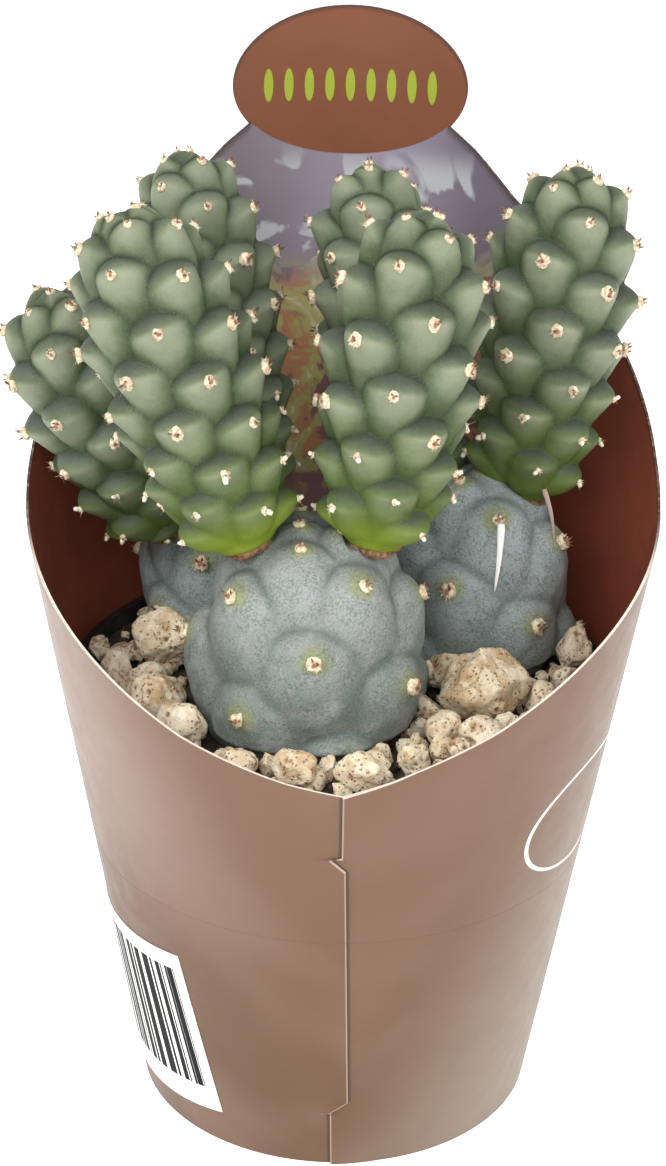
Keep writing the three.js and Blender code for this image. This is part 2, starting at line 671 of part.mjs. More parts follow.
// Each stone is trimmed by the plant and by the stones before it, and one that would lose much is left out
function stones(joints) {
  const room = stoneRoom().subtract(wasm.Manifold.union(joints.map((joint) => joint.swollen)));
  const laid = [];
  const placed = [];
  [...FRONT_STONES, ...fillStones()].forEach((place, index) => {
    const whole = toSolid(stoneGeometry(place, index + 1));
    let solid = whole.intersect(room);
    for (const other of laid) solid = solid.subtract(other);
    if (solid.isEmpty()) return;
    solid = largestBody(solid);
    const leastShare = index < FRONT_STONES.length ? FRONT_STONE_LEFT : FILL_STONE_LEFT;
    if (solid.volume() < leastShare * whole.volume()) return;
    laid.push(toSolid(stoneGeometry(place, index + 1, STONE_GAP)));
    placed.push({ name: `stone_${String(placed.length + 1).padStart(2, '0')}`, solid });
  });
  return placed;
}

// Finishes

const FINISHES = {
  card: { color: 0x9a7868, roughness: 0.55, metalness: 0 },
  black_plastic: { color: 0x1b1c1d, roughness: 0.5, metalness: 0 },
  soil: { color: 0x2f2621, roughness: 1, metalness: 0 },
  grey_skin: { color: 0x7f8f8d, roughness: 0.75, metalness: 0 },
  green_skin: { color: 0x6f8d66, roughness: 0.6, metalness: 0 },
  pumice: { color: 0xc9b493, roughness: 0.95, metalness: 0 },
};

function pieceMesh(name, solid, finish) {
  const mesh = new THREE.Mesh(toGeometry(solid), new THREE.MeshStandardMaterial(FINISHES[finish]));
  mesh.name = name;
  return mesh;
}

// Assembly

const greys = GREY_JOINTS.map((sizes) => new PlantJoint(GREY_KIND, sizes));
const greens = GREEN_JOINTS.map((sizes) => new PlantJoint(GREEN_KIND, sizes));
const joints = [...greys, ...greens];
const card = sleeve();
const gravelStones = stones(joints);
growAllSpines(joints, [card, ...gravelStones.map((stone) => stone.solid)]);

const holder = new THREE.Group();
holder.add(pieceMesh('sleeve', card, 'card'));
holder.add(pieceMesh('grow_pot', growPot(), 'black_plastic'));
holder.add(pieceMesh('soil', soil(greys), 'soil'));

const cactus = new THREE.Group();
for (const grey of greys) cactus.add(pieceMesh(grey.name, seated(grey, greens), 'grey_skin'));
for (const green of greens) cactus.add(pieceMesh(green.name, green.solid, 'green_skin'));

const gravel = new THREE.Group();
for (const stone of gravelStones) gravel.add(pieceMesh(stone.name, stone.solid, 'pumice'));

const pottedCactus = new THREE.Group();
pottedCactus.add(holder, cactus, gravel);

export default pottedCactus;
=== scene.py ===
import math

import bmesh
import bpy
import numpy as np
from bpy.props import FloatProperty, IntProperty, PointerProperty
from mathutils import Matrix


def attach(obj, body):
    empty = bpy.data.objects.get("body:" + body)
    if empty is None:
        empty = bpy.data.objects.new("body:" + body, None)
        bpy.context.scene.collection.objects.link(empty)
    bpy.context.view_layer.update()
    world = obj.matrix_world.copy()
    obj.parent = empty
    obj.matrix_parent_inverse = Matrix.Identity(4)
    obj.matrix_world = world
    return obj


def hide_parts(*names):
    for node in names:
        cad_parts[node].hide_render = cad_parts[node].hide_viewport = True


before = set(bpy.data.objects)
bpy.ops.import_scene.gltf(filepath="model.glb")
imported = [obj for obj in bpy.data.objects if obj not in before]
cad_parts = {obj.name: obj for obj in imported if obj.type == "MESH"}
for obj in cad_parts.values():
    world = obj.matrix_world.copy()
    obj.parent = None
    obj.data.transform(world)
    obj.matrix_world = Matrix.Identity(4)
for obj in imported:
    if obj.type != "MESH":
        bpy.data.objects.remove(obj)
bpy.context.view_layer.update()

bl_info = {
    "name": "Potted Cactus",
    "version": (1, 0, 0),
    "blender": (4, 5, 0),
    "location": "3D View > Sidebar > Potted Cactus",
    "description": "Builds a potted Tephrocactus in a card sleeve, piece by piece, with its studio",
    "category": "Add Mesh",
}

MM = 0.001
TAU = 2 * math.pi
GOLDEN_ANGLE = TAU * (2 - (1 + math.sqrt(5)) / 2)

# Fixed shapes, in millimetres

POT_AIR = 0.95  # from the outside of the card to the pot's lip
STICKER_GAP = 0.03  # from the card to the sticker

# Degrees from the back and the height of the sleeve's edge there, from the neck to the front notch
EDGE_HEIGHTS = [
    (17.2, 110.1), (22, 107.6), (30, 102.5), (60, 88.5), (80, 79.5), (90, 76),
    (110, 71.5), (130, 66.5), (150, 61.2), (170, 57.2), (180, 55.6),
]
NECK_ANGLE = 17.2  # degrees from the back to the side of the header's neck
RIGHT_EDGE_LIFT = 0.75  # the front edge is this much higher on the right and lower on the left
LAP_ANGLE = 14.0  # degrees over which the upper panel of the seam falls back to the wall
TONGUE = (8.2, 47.06)  # between these heights the left panel is the upper one
# Height and the seam's offset to the right of the middle there
SEAM_PATH = [
    (0, -0.2), (8.1, -0.35), (8.4, -0.4), (10.2, 1.75),
    (45.2, 0.97), (47.0, -0.8), (47.12, 0.5), (60, 0.5),
]
# Heights of the rows of the wall beside the seam, close together where the panels change places
SEAM_ROWS = [
    0, 0.6, 2, 4, 6, 7.6, 8.1, 8.4, 8.9, 9.5, 10.2, 11, 13, 16, 19, 22, 25, 28, 31, 34, 37, 40, 42.5,
    44.2, 45.2, 45.8, 46.4, 47.0, 47.12, 47.6, 48.5, 50, 51.5, 53,
]
EDGE_ROWS = 43  # rows of the wall from the seam's top to the edge
HEADER_ROWS = 22
FAR_FROM_SEAM = 9.0  # the distance to the seam is told up to here
# Painted shade darkens the inside along its rim towards the back.
SHADED_RIM = 120  # degrees from the back up to which the inside darkens at its rim

# Where the sticker's lower right corner lies on the flattened cone, and its two directions there
STICKER_CORNER = (-13.94, 151.96)
STICKER_ACROSS = (-16.0, -4.2)
STICKER_RISE = (-4.2, 16.0)
STICKER_GRID = (54, 24)

POT_SIDES = 144
SOIL_SIDES = 160
SOIL_RINGS = 80
DRAIN_HOLES = 6
DRAIN_CIRCLE = 14.0

# A joint's outline lists shares of the length and of the radius, from base to tip
CLUB_OUTLINE = [
    (0, 0), (0, 0.48), (0.05, 0.6), (0.16, 0.75), (0.34, 0.9),
    (0.55, 1), (0.75, 0.97), (0.89, 0.78), (0.97, 0.45), (1, 0),
]
GLOBE_OUTLINE = [
    (0, 0), (0.03, 0.5), (0.16, 0.9), (0.36, 1), (0.6, 0.96), (0.8, 0.8), (0.94, 0.52), (1, 0),
]
PLAIN_HEIGHT = 53.5  # a joint is plain below this height, and its relief grows over the margin above it
SOIL_MARGIN = 2.3
SMOOTH_BASE = 2.2  # the relief grows from this arc to three times as much
BARE_TIP = 0.06  # arc at the tip without areoles, as a share of the radius
CROWDED_RISE = 0.6  # share of the rise from areole to areole that is left where a joint is thin
CROWDED_SIZE = 0.7  # the same for the size of a tubercle
STEEP_FALL = 2.1  # power by which a tubercle falls off towards the tip
LEAN = 0.3  # share of their depth by which hollows slip towards the base, so that tubercles point up
CREASE_SHARPNESS = 160.0  # the higher, the narrower the crease between tubercles of the same reach
# The crease's darkening and its dark line are painted shade.
CREASE_WIDTH = 0.8  # difference in height between two tubercles over which their crease darkens
LINE_WIDTH = 0.28  # the same for the dark line in the middle of the crease
POINT_WIDTH = 1.2
FRONT_GREY_GRID = (190, 230)  # rows and columns of a skin
BACK_GREY_GRID = (140, 170)
GREEN_GRID = (226, 132)
EVEN_ROWS = 0.045  # how far a skin's rows are moved away from its ends
SEAT_SINK = 0.4  # how deep a green joint's seat lies under its base
SEAT_RADII = (3.2, 4.0)  # a seat is flat to the first and gone from the second
SEAT_HEIGHT = 6  # what rises higher over a seat is left alone

# Cork rings
CORK_ARCS = (1.0, 9.0)  # part of a green joint's arc in which its ring is sought
CORK_STEPS = 60
CORK_RANGE = (6, 34)  # steps between which a ring stays
CORK_HIDDEN = 8  # the step taken where nothing is hidden
CORK_TURNS = 72
CORK_SIDES = 12
CORK_SIZE = 0.85
CORK_FLATNESS = 0.75

# Stones
LARGE_STONE = 3.4  # stones of a larger mean radius get more faces
STONE_CONE = 0.17  # half the width of the cone of directions over which corners round off
BROKEN_SHARE = (0.8, 0.96)  # how much of a stone a broken face leaves
PIT_RADII = (0.13, 0.37)
NOTCHED_STONE = "stone_13"
NOTCH_SIDE = (-0.68, -0.3, 0.66)  # that stone is lower on the side in this direction
NOTCH_DEPTH = 0.24  # by this share of its mean radius

# name, root, tip, half width, bow, and 1 for the tan kind
PAPERY_SPINES = [
    ("papery_spine_long", (18.5, -0.6, 73.9), (17.8, -4.6, 67.0), 0.46, (0.1, -0.5, 0.2), 0.0),
    ("papery_spine_short", (23.7, 4.6, 76.2), (25.1, 3.4, 69.9), 0.3, (0.3, -0.2, 0.0), 1.0),
]
SPINE_STEPS = 30
SPINE_SIDES = 12

# name, base, tip, radius, rise from areole to areole, arc to the first, its bearing in degrees, winding
GREY_JOINTS = [
    ("grey_joint_front", (-4.6, -9.2, 45.6), (-3, -10.4, 76), 11.8, 1.507, 15.03, 160, -1),
    ("grey_joint_right", (16.6, 9, 47), (16.2, 8.6, 75.2), 9.5, 1.556, 6.36, 191, -1),
    ("grey_joint_left", (-13.9, 14.5, 46.6), (-14.7, 14.3, 72), 8.4, 1.4, 10, 282, -1),
]
GREEN_JOINTS = [
    ("green_joint_front_left", (-10.8, -11.5, 75.8), (-23.7, -11.5, 111.7), 6, 0.809, 6.53, 224, -1),
    ("green_joint_front_right", (3.6, -11.6, 76.2), (7.8, -10.8, 111.8), 5.8, 0.958, 6.67, 262, 1),
    ("green_joint_right", (21.2, 9.6, 73.6), (26.1, 8.4, 111.4), 5.9, 0.867, 7.87, 57, -1),
    ("green_joint_back_left", (-11.9, 17, 69.4), (-18.9, 12.6, 111.4), 5.3, 0.83, 6.12, 228, -1),
    ("green_joint_back_centre", (9.8, 12.8, 69.4), (2.1, 15.8, 109.4), 5.4, 0.977, 4.38, 94, -1),
    ("green_joint_far_left", (-21.3, 9, 68.8), (-33.9, 2.2, 97.6), 5.5, 0.868, 4.57, 4, 1),
]

# The camera that the photograph was taken with: place, degrees down and of roll, focal length, shift
CAMERA_PLACE = (0.0, -279.0, 194.9)
CAMERA_DROP = 24.856
CAMERA_ROLL = 0.987
CAMERA_LENS = 80.27
CAMERA_SHIFT = -0.00763

FLOOR_REACH = 2500.0
FLOOR_LINES = 26


# Arrays


def unit(vectors):
    """The same directions with length one."""
    return vectors / np.maximum(np.linalg.norm(vectors, axis=-1, keepdims=True), 1e-12)


def smoothstep(x, low, high):
    """0 up to low, 1 from high, and a smooth climb between."""
    t = np.clip((x - low) / (high - low), 0, 1)
    return t * t * (3 - 2 * t)


def table(rows, x):
    """Straight-line interpolation in a list of (key, value)."""
    keys, values = zip(*rows)
    return np.interp(x, keys, values)


def waves(points, length, seed):
    """Smooth noise of about -1 to 1: a sum of cosine waves of this length in random directions."""
    count = 10
    random = np.random.default_rng(seed)
    directions = unit(random.normal(size=(count, points.shape[-1])))
    speeds = random.uniform(0.7, 1.4, count) * TAU / length
    phases = random.uniform(0, TAU, count)
    heights = np.cos(points @ (directions * speeds[:, None]).T + phases)
    return heights.sum(-1) / math.sqrt(count / 2) / 1.6


def grid_faces(rows, columns, around=False, flip=False, first=0):
    """Quads over a grid of points, row after row. Around also joins the last column to the first."""
    row = np.arange(rows - 1)[:, None] * columns
    column = np.arange(columns if around else columns - 1)
    after = (column + 1) % columns
    quads = np.stack([row + column, row + after, row + columns + after, row + columns + column], -1)
    quads = quads.reshape(-1, 4) + first
    return quads[:, ::-1] if flip else quads


def welded(points, faces, values):
    """Joins points that coincide, and turns quads that lose a corner into triangles."""
    keys = np.round(points * 1e4).astype(np.int64)
    _, kept, places = np.unique(keys, axis=0, return_index=True, return_inverse=True)
    places = places.ravel()
    result = []
    for group in faces:
        group = places[group]
        same = group == np.roll(group, -1, axis=1)
        lost = same.sum(1)
        result.append(group[lost == 0])
        if group.shape[1] == 4:
            thin = group[lost == 1]
            corners = ~same[lost == 1]
            result.append(thin[corners].reshape(-1, 3))
    values = {key: value[kept] for key, value in values.items()}
    return points[kept], [group for group in result if len(group)], values


def joined(parts):
    """One body of several (points, faces, values) bodies."""
    faces, first = [], 0
    for points, groups, _ in parts:
        faces += [group + first for group in groups]
        first += len(points)
    values = {key: np.concatenate([part[2][key] for part in parts]) for key in parts[0][2]}
    return np.concatenate([part[0] for part in parts]), faces, values


def boundary_edges(faces):
    """Directed edges that belong to one face only."""
    edges = [np.stack([group, np.roll(group, -1, axis=1)], -1).reshape(-1, 2) for group in faces]
    edges = np.concatenate(edges)
    _, place, count = np.unique(np.sort(edges, axis=1), axis=0, return_inverse=True, return_counts=True)
    return edges[count[place.ravel()] == 1]


def thick_sheet(outer, inner, faces, values):
    """A body of a sheet's two sides and the strip that closes its free edges.

    With it come the rim's edges, and 0, 1 or 2 for each face of the outer side, inner side and strip.
    """
    rim = boundary_edges(faces)
    count = len(outer)
    strip = np.stack([rim[:, 1], rim[:, 0], rim[:, 0] + count, rim[:, 1] + count], -1)
    one_side = sum(len(group) for group in faces)
    part = np.repeat([0.0, 1.0, 2.0], [one_side, one_side, len(strip)])
    faces = [*faces, *(group[:, ::-1] + count for group in faces), strip]
    values = {key: np.concatenate([value, value]) for key, value in values.items()}
    return (np.concatenate([outer, inner]), faces, values), rim, part


def lathed(radius, z, sides):
    """A grid of points round the pot's axis, a row for each radius, from its columns of radii and heights."""
    turn = np.arange(sides) / sides * TAU
    return np.stack(np.broadcast_arrays(radius * np.cos(turn), radius * np.sin(turn), z), -1)


def spline(rows, count):
    """Points at even steps of a uniform Catmull-Rom spline through the rows."""
    knots = np.asarray(rows, float)
    t = np.linspace(0, len(knots) - 1, count + 1)
    i = np.minimum(t.astype(int), len(knots) - 2)
    w = (t - i)[:, None]
    p0, p1, p2, p3 = (knots[np.clip(i + k, 0, len(knots) - 1)] for k in (-1, 0, 1, 2))
    v0, v1 = (p2 - p0) / 2, (p3 - p1) / 2
    return (2 * p1 - 2 * p2 + v0 + v1) * w**3 + (3 * p2 - 3 * p1 - 2 * v0 - v1) * w**2 + v0 * w + p1


def tubes(paths, radii, sides, seed):
    """Round rods along paths (number, steps, 3) with radii (number, steps), closed at both ends."""
    number, steps = radii.shape
    along = unit(np.gradient(paths, axis=1))
    reference = unit(np.random.default_rng(seed).normal(size=(number, 1, 3)))
    first = unit(np.cross(along, reference))
    second = np.cross(along, first)
    angle = np.arange(sides) / sides * TAU
    ring = first[:, :, None] * np.cos(angle)[:, None] + second[:, :, None] * np.sin(angle)[:, None]
    points = (paths[:, :, None] + ring * radii[:, :, None, None]).reshape(-1, 3)
    starts = (np.arange(number) * steps * sides)[:, None, None]
    quads = (grid_faces(steps, sides, around=True)[None] + starts).reshape(-1, 4)
    root = (np.arange(sides)[::-1] + starts[:, 0]).reshape(-1, sides)
    tip = (np.arange(sides) + (steps - 1) * sides + starts[:, 0]).reshape(-1, sides)
    return points, [quads, root, tip]


def add_piece(name, body, material, nodes=(), face_values=None, sharp=None):
    """A mesh piece that rides on the root body, from points in millimetres, faces and vertex values."""
    points, faces, values = body
    mesh = bpy.data.meshes.new(name)
    sizes = np.concatenate([np.full(len(group), group.shape[1]) for group in faces])
    corners = np.concatenate([group.ravel() for group in faces])
    mesh.vertices.add(len(points))
    mesh.vertices.foreach_set("co", (points * MM).astype(np.float32).ravel())
    mesh.loops.add(len(corners))
    mesh.loops.foreach_set("vertex_index", corners.astype(np.int32))
    mesh.polygons.add(len(sizes))
    mesh.polygons.foreach_set("loop_start", (np.cumsum(sizes) - sizes).astype(np.int32))
    mesh.polygons.foreach_set("use_smooth", np.ones(len(sizes), bool))
    mesh.update(calc_edges=True)
    for key, value in values.items():
        kind, field = ("FLOAT_VECTOR", "vector") if value.ndim == 2 else ("FLOAT", "value")
        attribute = mesh.attributes.new(key, kind, "POINT")
        attribute.data.foreach_set(field, value.astype(np.float32).ravel())
    for key, value in (face_values or {}).items():
        attribute = mesh.attributes.new(key, "FLOAT", "FACE")
        attribute.data.foreach_set("value", value.astype(np.float32))
    if mesh.validate():
        raise RuntimeError(f"{name} had faulty faces")
    if sharp is not None:
        mesh.set_sharp_from_angle(angle=math.radians(sharp))
    mesh.materials.append(material)
    piece = bpy.data.objects.new(name, mesh)
    bpy.context.scene.collection.objects.link(piece)
    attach(piece, "root")
    if nodes:
        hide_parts(*nodes)
    return piece


# Shader nodes


def math_node(operation, swapped=False):
    """A method of Wire that adds one Math node, with the wire itself as the first or the last operand."""

    def method(wire, *others):
        operands = (*others, wire) if swapped else (wire, *others)
        inputs = dict(enumerate(operands))
        return wire.shader.node("ShaderNodeMath", {"operation": operation}, inputs)[0]

    return method


class Wire:
    """A socket that takes part in arithmetic, one Math node for each step."""

    def __init__(self, shader, socket):
        self.shader = shader
        self.socket = socket

    __add__ = __radd__ = math_node("ADD")
    __mul__ = __rmul__ = math_node("MULTIPLY")
    __sub__ = math_node("SUBTRACT")
    __rsub__ = math_node("SUBTRACT", swapped=True)
    __truediv__ = math_node("DIVIDE")
    __pow__ = math_node("POWER")
    __abs__ = math_node("ABSOLUTE")
    maximum = math_node("MAXIMUM")
    pingpong = math_node("PINGPONG")


class Shader:
    """A material and the nodes in it."""

    def __init__(self, name, roughness, **gloss):
        self.material = bpy.data.materials.new(name)
        self.material.use_nodes = True
        self.tree = self.material.node_tree
        self.tree.nodes.clear()
        self.surface = self.tree.nodes.new("ShaderNodeBsdfPrincipled")
        output = self.tree.nodes.new("ShaderNodeOutputMaterial")
        self.tree.links.new(self.surface.outputs["BSDF"], output.inputs["Surface"])
        self.set("Roughness", roughness)
        for key, value in gloss.items():
            self.set(key.replace("_", " "), value)

    def put(self, socket, value):
        if isinstance(value, Wire):
            self.tree.links.new(value.socket, socket)
        else:
            socket.default_value = value

    def set(self, name, value):
        self.put(self.surface.inputs[name], value)

    def node(self, kind, settings=None, inputs=None):
        """Adds a node of any kind, settings first and then sockets, and returns its outputs as wires."""
        node = self.tree.nodes.new(kind)
        for key, value in (settings or {}).items():
            setattr(node, key, value)
        for key, value in (inputs or {}).items():
            self.put(node.inputs[key], value)
        return [Wire(self, socket) for socket in node.outputs]

    def millimetres(self):
        """Object coordinates in millimetres."""
        place = self.node("ShaderNodeTexCoord")[3]
        return self.node("ShaderNodeVectorMath", {"operation": "SCALE"}, {0: place, 3: 1 / MM})[0]

    def attribute(self, name):
        """The factor of an attribute of the piece."""
        return self.node("ShaderNodeAttribute", {"attribute_name": name})[2]

    def parts(self, vector):
        """The three parts of a vector."""
        return self.node("ShaderNodeSeparateXYZ", None, {0: vector})

    def place(self, name):
        """The three parts of a vector attribute, and the vector itself."""
        vector = self.node("ShaderNodeAttribute", {"attribute_name": name})[1]
        return [*self.parts(vector), vector]

    def noise(self, vector, size, detail=3.0, roughness=0.55, distortion=0.0):
        """Noise of 0 to 1 whose lumps are about this size."""
        sockets = {"Vector": vector, "Scale": 1.0 / size, "Detail": detail, "Roughness": roughness}
        return self.node("ShaderNodeTexNoise", None, {**sockets, "Distortion": distortion})[0]

    def cells(self, vector, size):
        """Distance to the nearest point of a random scatter this far apart."""
        return self.node("ShaderNodeTexVoronoi", None, {"Vector": vector, "Scale": 1.0 / size})[0]

    def ramp(self, value, low, high, start=0.0, end=1.0):
        """Start up to low, end from high, and a smooth change between."""
        inputs = {0: value, 1: low, 2: high, 3: start, 4: end}
        return self.node("ShaderNodeMapRange", {"interpolation_type": "SMOOTHSTEP"}, inputs)[0]

    def fade(self, value, low, high):
        """1 up to low, 0 from high, and a smooth change between."""
        return self.ramp(value, low, high, 1.0, 0.0)

    def mix(self, factor, first, second):
        """A mix of two colours."""
        settings = {"data_type": "RGBA", "clamp_factor": True}
        first, second = (v if isinstance(v, Wire) else (*v, 1.0) for v in (first, second))
        return self.node("ShaderNodeMix", settings, {0: factor, 6: first, 7: second})[2]

    def layers(self, colour, *layers):
        """A colour under layers of (factor, colour), the last one on top."""
        for factor, over in layers:
            colour = self.mix(factor, colour, over)
        return colour

    def finished(self, colour, height, depth):
        """The material with this colour and a bump of this depth in millimetres."""
        self.set("Base Color", colour)
        inputs = {"Height": height, "Strength": 1.0, "Distance": depth * MM}
        self.set("Normal", self.node("ShaderNodeBump", None, inputs)[0])
        return self.material


# Materials, with linear colours and lengths in millimetres


def card_outside(s, x, z, place, soft):
    """Taupe card, and the fold in it.

    It is paler at the top, and a painted sheen pales it towards both sides. The upper panel of the seam has a
    pale cut edge, and a painted shadow lies beside it on the lower one. A faint fold with painted shade runs
    round, a few scuffs lie on it, and a thin ring, an ellipse on the flat card, stands at the right.
    """
    # Painted sheen pales the card towards its left and right sides.
    painted_sheen_left = s.ramp(x, -94.0, -72.0) * s.fade(x, -50.0, -26.0) * s.ramp(z, 26.0, 54.0)
    painted_sheen_right = s.ramp(x, 28.0, 46.0) * s.fade(x, 53.0, 84.0)
    on_tongue = s.ramp(z, 8.2, 8.4) * s.fade(z, 47.0, 47.1)
    over = s.attribute("from_seam") * (1.0 - on_tongue * 2.0)
    under = over * -1.0
    fold = s.fade(abs(z - 35.0 + (soft - 0.5) * 1.2), 0.05, 0.3)
    scuff = s.ramp(s.noise(place, 0.35, 4.0), 0.7, 0.78) * s.ramp(s.noise(place, 9.0, 2.0), 0.52, 0.62)
    ring = ((x - 63.0) / 12.8) ** 2.0 + ((z + (75.0 - x) * 0.1 - 45.1) / 6.9) ** 2.0
    colour = s.layers(
        s.mix(s.ramp(z, 2.0, 60.0), (0.1, 0.048, 0.02), (0.144, 0.076, 0.046)),
        (s.ramp(soft, 0.42, 0.68, 0.0, 0.45), (0.178, 0.104, 0.07)),
        (painted_sheen_left * 0.75, (0.27, 0.197, 0.16)),
        (painted_sheen_right * 0.7, (0.26, 0.21, 0.165)),
        # Painted shadow on the lower panel beside the seam; the next layer is the upper panel's own pale cut
        # edge.
        (s.ramp(under, 0.0, 0.04) * s.fade(under, 0.2, 0.5) * 0.6, (0.03, 0.014, 0.01)),
        (s.ramp(over, 0.0, 0.03) * s.fade(over, 0.12, 0.22) * 0.75, (0.34, 0.25, 0.19)),
        # Painted shade along the fold.
        (fold * 0.2, (0.1, 0.05, 0.032)),
        (scuff * 0.3, (0.4, 0.3, 0.24)),
        (s.fade(abs(ring**0.5 - 1.0), 0.018, 0.032), (0.8, 0.77, 0.74)),
    )
    return colour, fold


def card_print(s, x, z, place, soft):
    """A made-up marbled print: violet-grey with pale patches above, orange, olive and mauve swirls below."""
    sky = s.mix(s.ramp(x + (soft - 0.5) * 20.0, -16.0, 2.0), (0.145, 0.118, 0.132), (0.215, 0.185, 0.232))
    swirl = s.noise(place, 13.0, 3.0, 0.5, 1.6)
    drift = s.noise(place, 7.0, 4.0, 0.55, 2.2)
    marbling = s.layers(
        s.mix(s.ramp(swirl, 0.4, 0.5), (0.15, 0.085, 0.075), (0.36, 0.17, 0.085)),
        (s.ramp(drift, 0.47, 0.56), (0.32, 0.3, 0.11)),
        (s.ramp(drift, 0.6, 0.68), (0.46, 0.38, 0.28)),
        (s.fade(drift, 0.33, 0.42), (0.16, 0.085, 0.1)),
    )
    pale = s.ramp(swirl, 0.5, 0.56) * s.fade(abs(z - 99.0), 4.0, 9.0)
    wavy = z + (soft - 0.5) * 9.0
    return s.layers(
        sky,
        (s.ramp(x + (soft - 0.5) * 16.0, 4.0, 17.0), (0.118, 0.1, 0.125)),
        (pale * 0.8, (0.4, 0.41, 0.43)),
        (s.fade(wavy, 88.0, 96.0), marbling),
        (s.fade(wavy, 60.0, 68.0), (0.2, 0.115, 0.125)),
    )


def card_inside(s, x, z, place, soft):
    """Dark reddish brown card with a print at the back and the plain header above it.

    The header is an oval with a row of leaves: x repeats every 2.6 mm, and each leaf is an ellipse.
    """
    header = s.mix(s.ramp(soft, 0.3, 0.7), (0.142, 0.046, 0.018), (0.162, 0.053, 0.022))
    leaf = (x.pingpong(1.3) / 0.62) ** 2.0 + ((z - 114.6) / 2.1) ** 2.0
    leaf = s.fade(leaf, 0.8, 1.0) * s.fade(abs(x), 11.6, 11.8)
    oval = ((x / 14.9) ** 2.0 + ((z - 114.8) / 8.7) ** 2.0) ** 0.5
    on_header = s.fade(oval, 0.99, 1.01).maximum(s.ramp(z, 110.0, 110.1))
    return s.layers(
        s.mix(s.ramp(s.noise(place, 15.0, 2.0), 0.3, 0.7), (0.205, 0.052, 0.03), (0.27, 0.07, 0.04)),
        (s.fade(abs(x), 23.6, 24.2), card_print(s, x, z, place, soft)),
        (on_header, s.mix(leaf, header, (0.25, 0.3, 0.022))),
        # Painted shade along the inside's rim towards the back.
        (s.attribute("rim") * 0.8, (0.03, 0.016, 0.014)),
    )


def card_material():
    """Printed card: taupe outside, dark reddish brown with a print inside, and pale where it is cut, except
    for painted shade on the cut edge at the back.
    """
    s = Shader("Printed Card", 0.42, Coat_Weight=0.1, Coat_Roughness=0.3, Specular_IOR_Level=0.25)
    x, z, _, place = s.place("card_place")
    part = s.attribute("part")
    soft = s.noise(place, 26.0, 2.0)
    outside, fold = card_outside(s, x, z, place, soft)
    # The cut edge is pale cream at the front, and painted shade darkens it towards the back.
    cut = s.mix(s.ramp(s.attribute("from_back"), 92.0, 112.0), (0.05, 0.026, 0.02), (0.74, 0.65, 0.56))
    cut = s.mix(s.ramp(s.noise(place, 0.6, 2.0), 0.4, 0.7) * 0.35, cut, (0.5, 0.38, 0.3))
    inside = card_inside(s, x, z, place, soft)
    colour = s.layers(outside, (s.ramp(part, 0.4, 0.6), inside), (s.ramp(part, 1.4, 1.6), cut))
    s.set("Roughness", s.ramp(s.noise(place, 3.0, 4.0), 0.2, 0.8, 0.36, 0.5))
    relief = s.noise(place, 0.5, 5.0) * 0.5 + s.noise(place, 5.0, 2.0) * 2.0 - fold * 0.8
    return s.finished(colour, relief, 0.03)


def label_material():
    """White paper with a window of plain bars: three even rows of stripes, one over the other."""
    s = Shader("Label Paper", 0.6, Specular_IOR_Level=0.1)
    x, y, _, place = s.place("label_place")
    stripes = []
    for pitch, share in ((2.3, 0.2), (1.49, 0.16), (0.97, 0.17)):
        stripes.append(s.fade(x.pingpong(pitch / 2), pitch * share - 0.05, pitch * share))
    bars = stripes[0].maximum(stripes[1]).maximum(stripes[2])
    window = s.ramp(x, 1.5, 1.55) * s.fade(x, 24.6, 24.65) * s.ramp(y, 3.4, 3.45) * s.fade(y, 21.0, 21.05)
    paper = s.mix(s.noise(place, 4.0, 4.0), (0.83, 0.82, 0.8), (0.9, 0.89, 0.87))
    return s.finished(s.mix(bars * window, paper, (0.008, 0.008, 0.009)), s.noise(place, 0.6, 4.0), 0.02)


def plastic_material():
    """Thin black plastic with fine scratches and dust."""
    s = Shader("Black Plastic", 0.45)
    place = s.millimetres()
    dust = s.ramp(s.noise(place, 1.2, 5.0, 0.65), 0.5, 0.75)
    colour = s.mix(dust * 0.5, (0.012, 0.012, 0.013), (0.09, 0.075, 0.06))
    s.set("Roughness", s.ramp(dust, 0.0, 1.0, 0.36, 0.7))
    return s.finished(colour, s.noise(place, 0.4, 4.0), 0.05)


def soil_material():
    """Peat: dark brown crumbs with a few paler grains."""
    s = Shader("Potting Soil", 0.95)
    place = s.millimetres()
    soft = s.ramp(s.noise(place, 0.9, 5.0, 0.7), 0.35, 0.7)
    peat = s.mix(soft, (0.016, 0.011, 0.008), (0.075, 0.05, 0.033))
    grain = s.fade(s.cells(place, 1.5), 0.12, 0.2)
    return s.finished(s.mix(grain * 0.6, peat, (0.3, 0.22, 0.15)), s.noise(place, 0.5, 6.0, 0.7), 0.4)


def crumb_material():
    """Bark crumbs: reddish brown to nearly black."""
    s = Shader("Bark Crumbs", 0.9)
    place = s.millimetres()
    bark = s.mix(s.attribute("tone"), (0.022, 0.013, 0.009), (0.14, 0.078, 0.045))
    colour = s.mix(s.ramp(s.noise(place, 0.3, 5.0), 0.4, 0.7), bark, (0.06, 0.038, 0.026))
    return s.finished(colour, s.noise(place, 0.25, 4.0), 0.12)


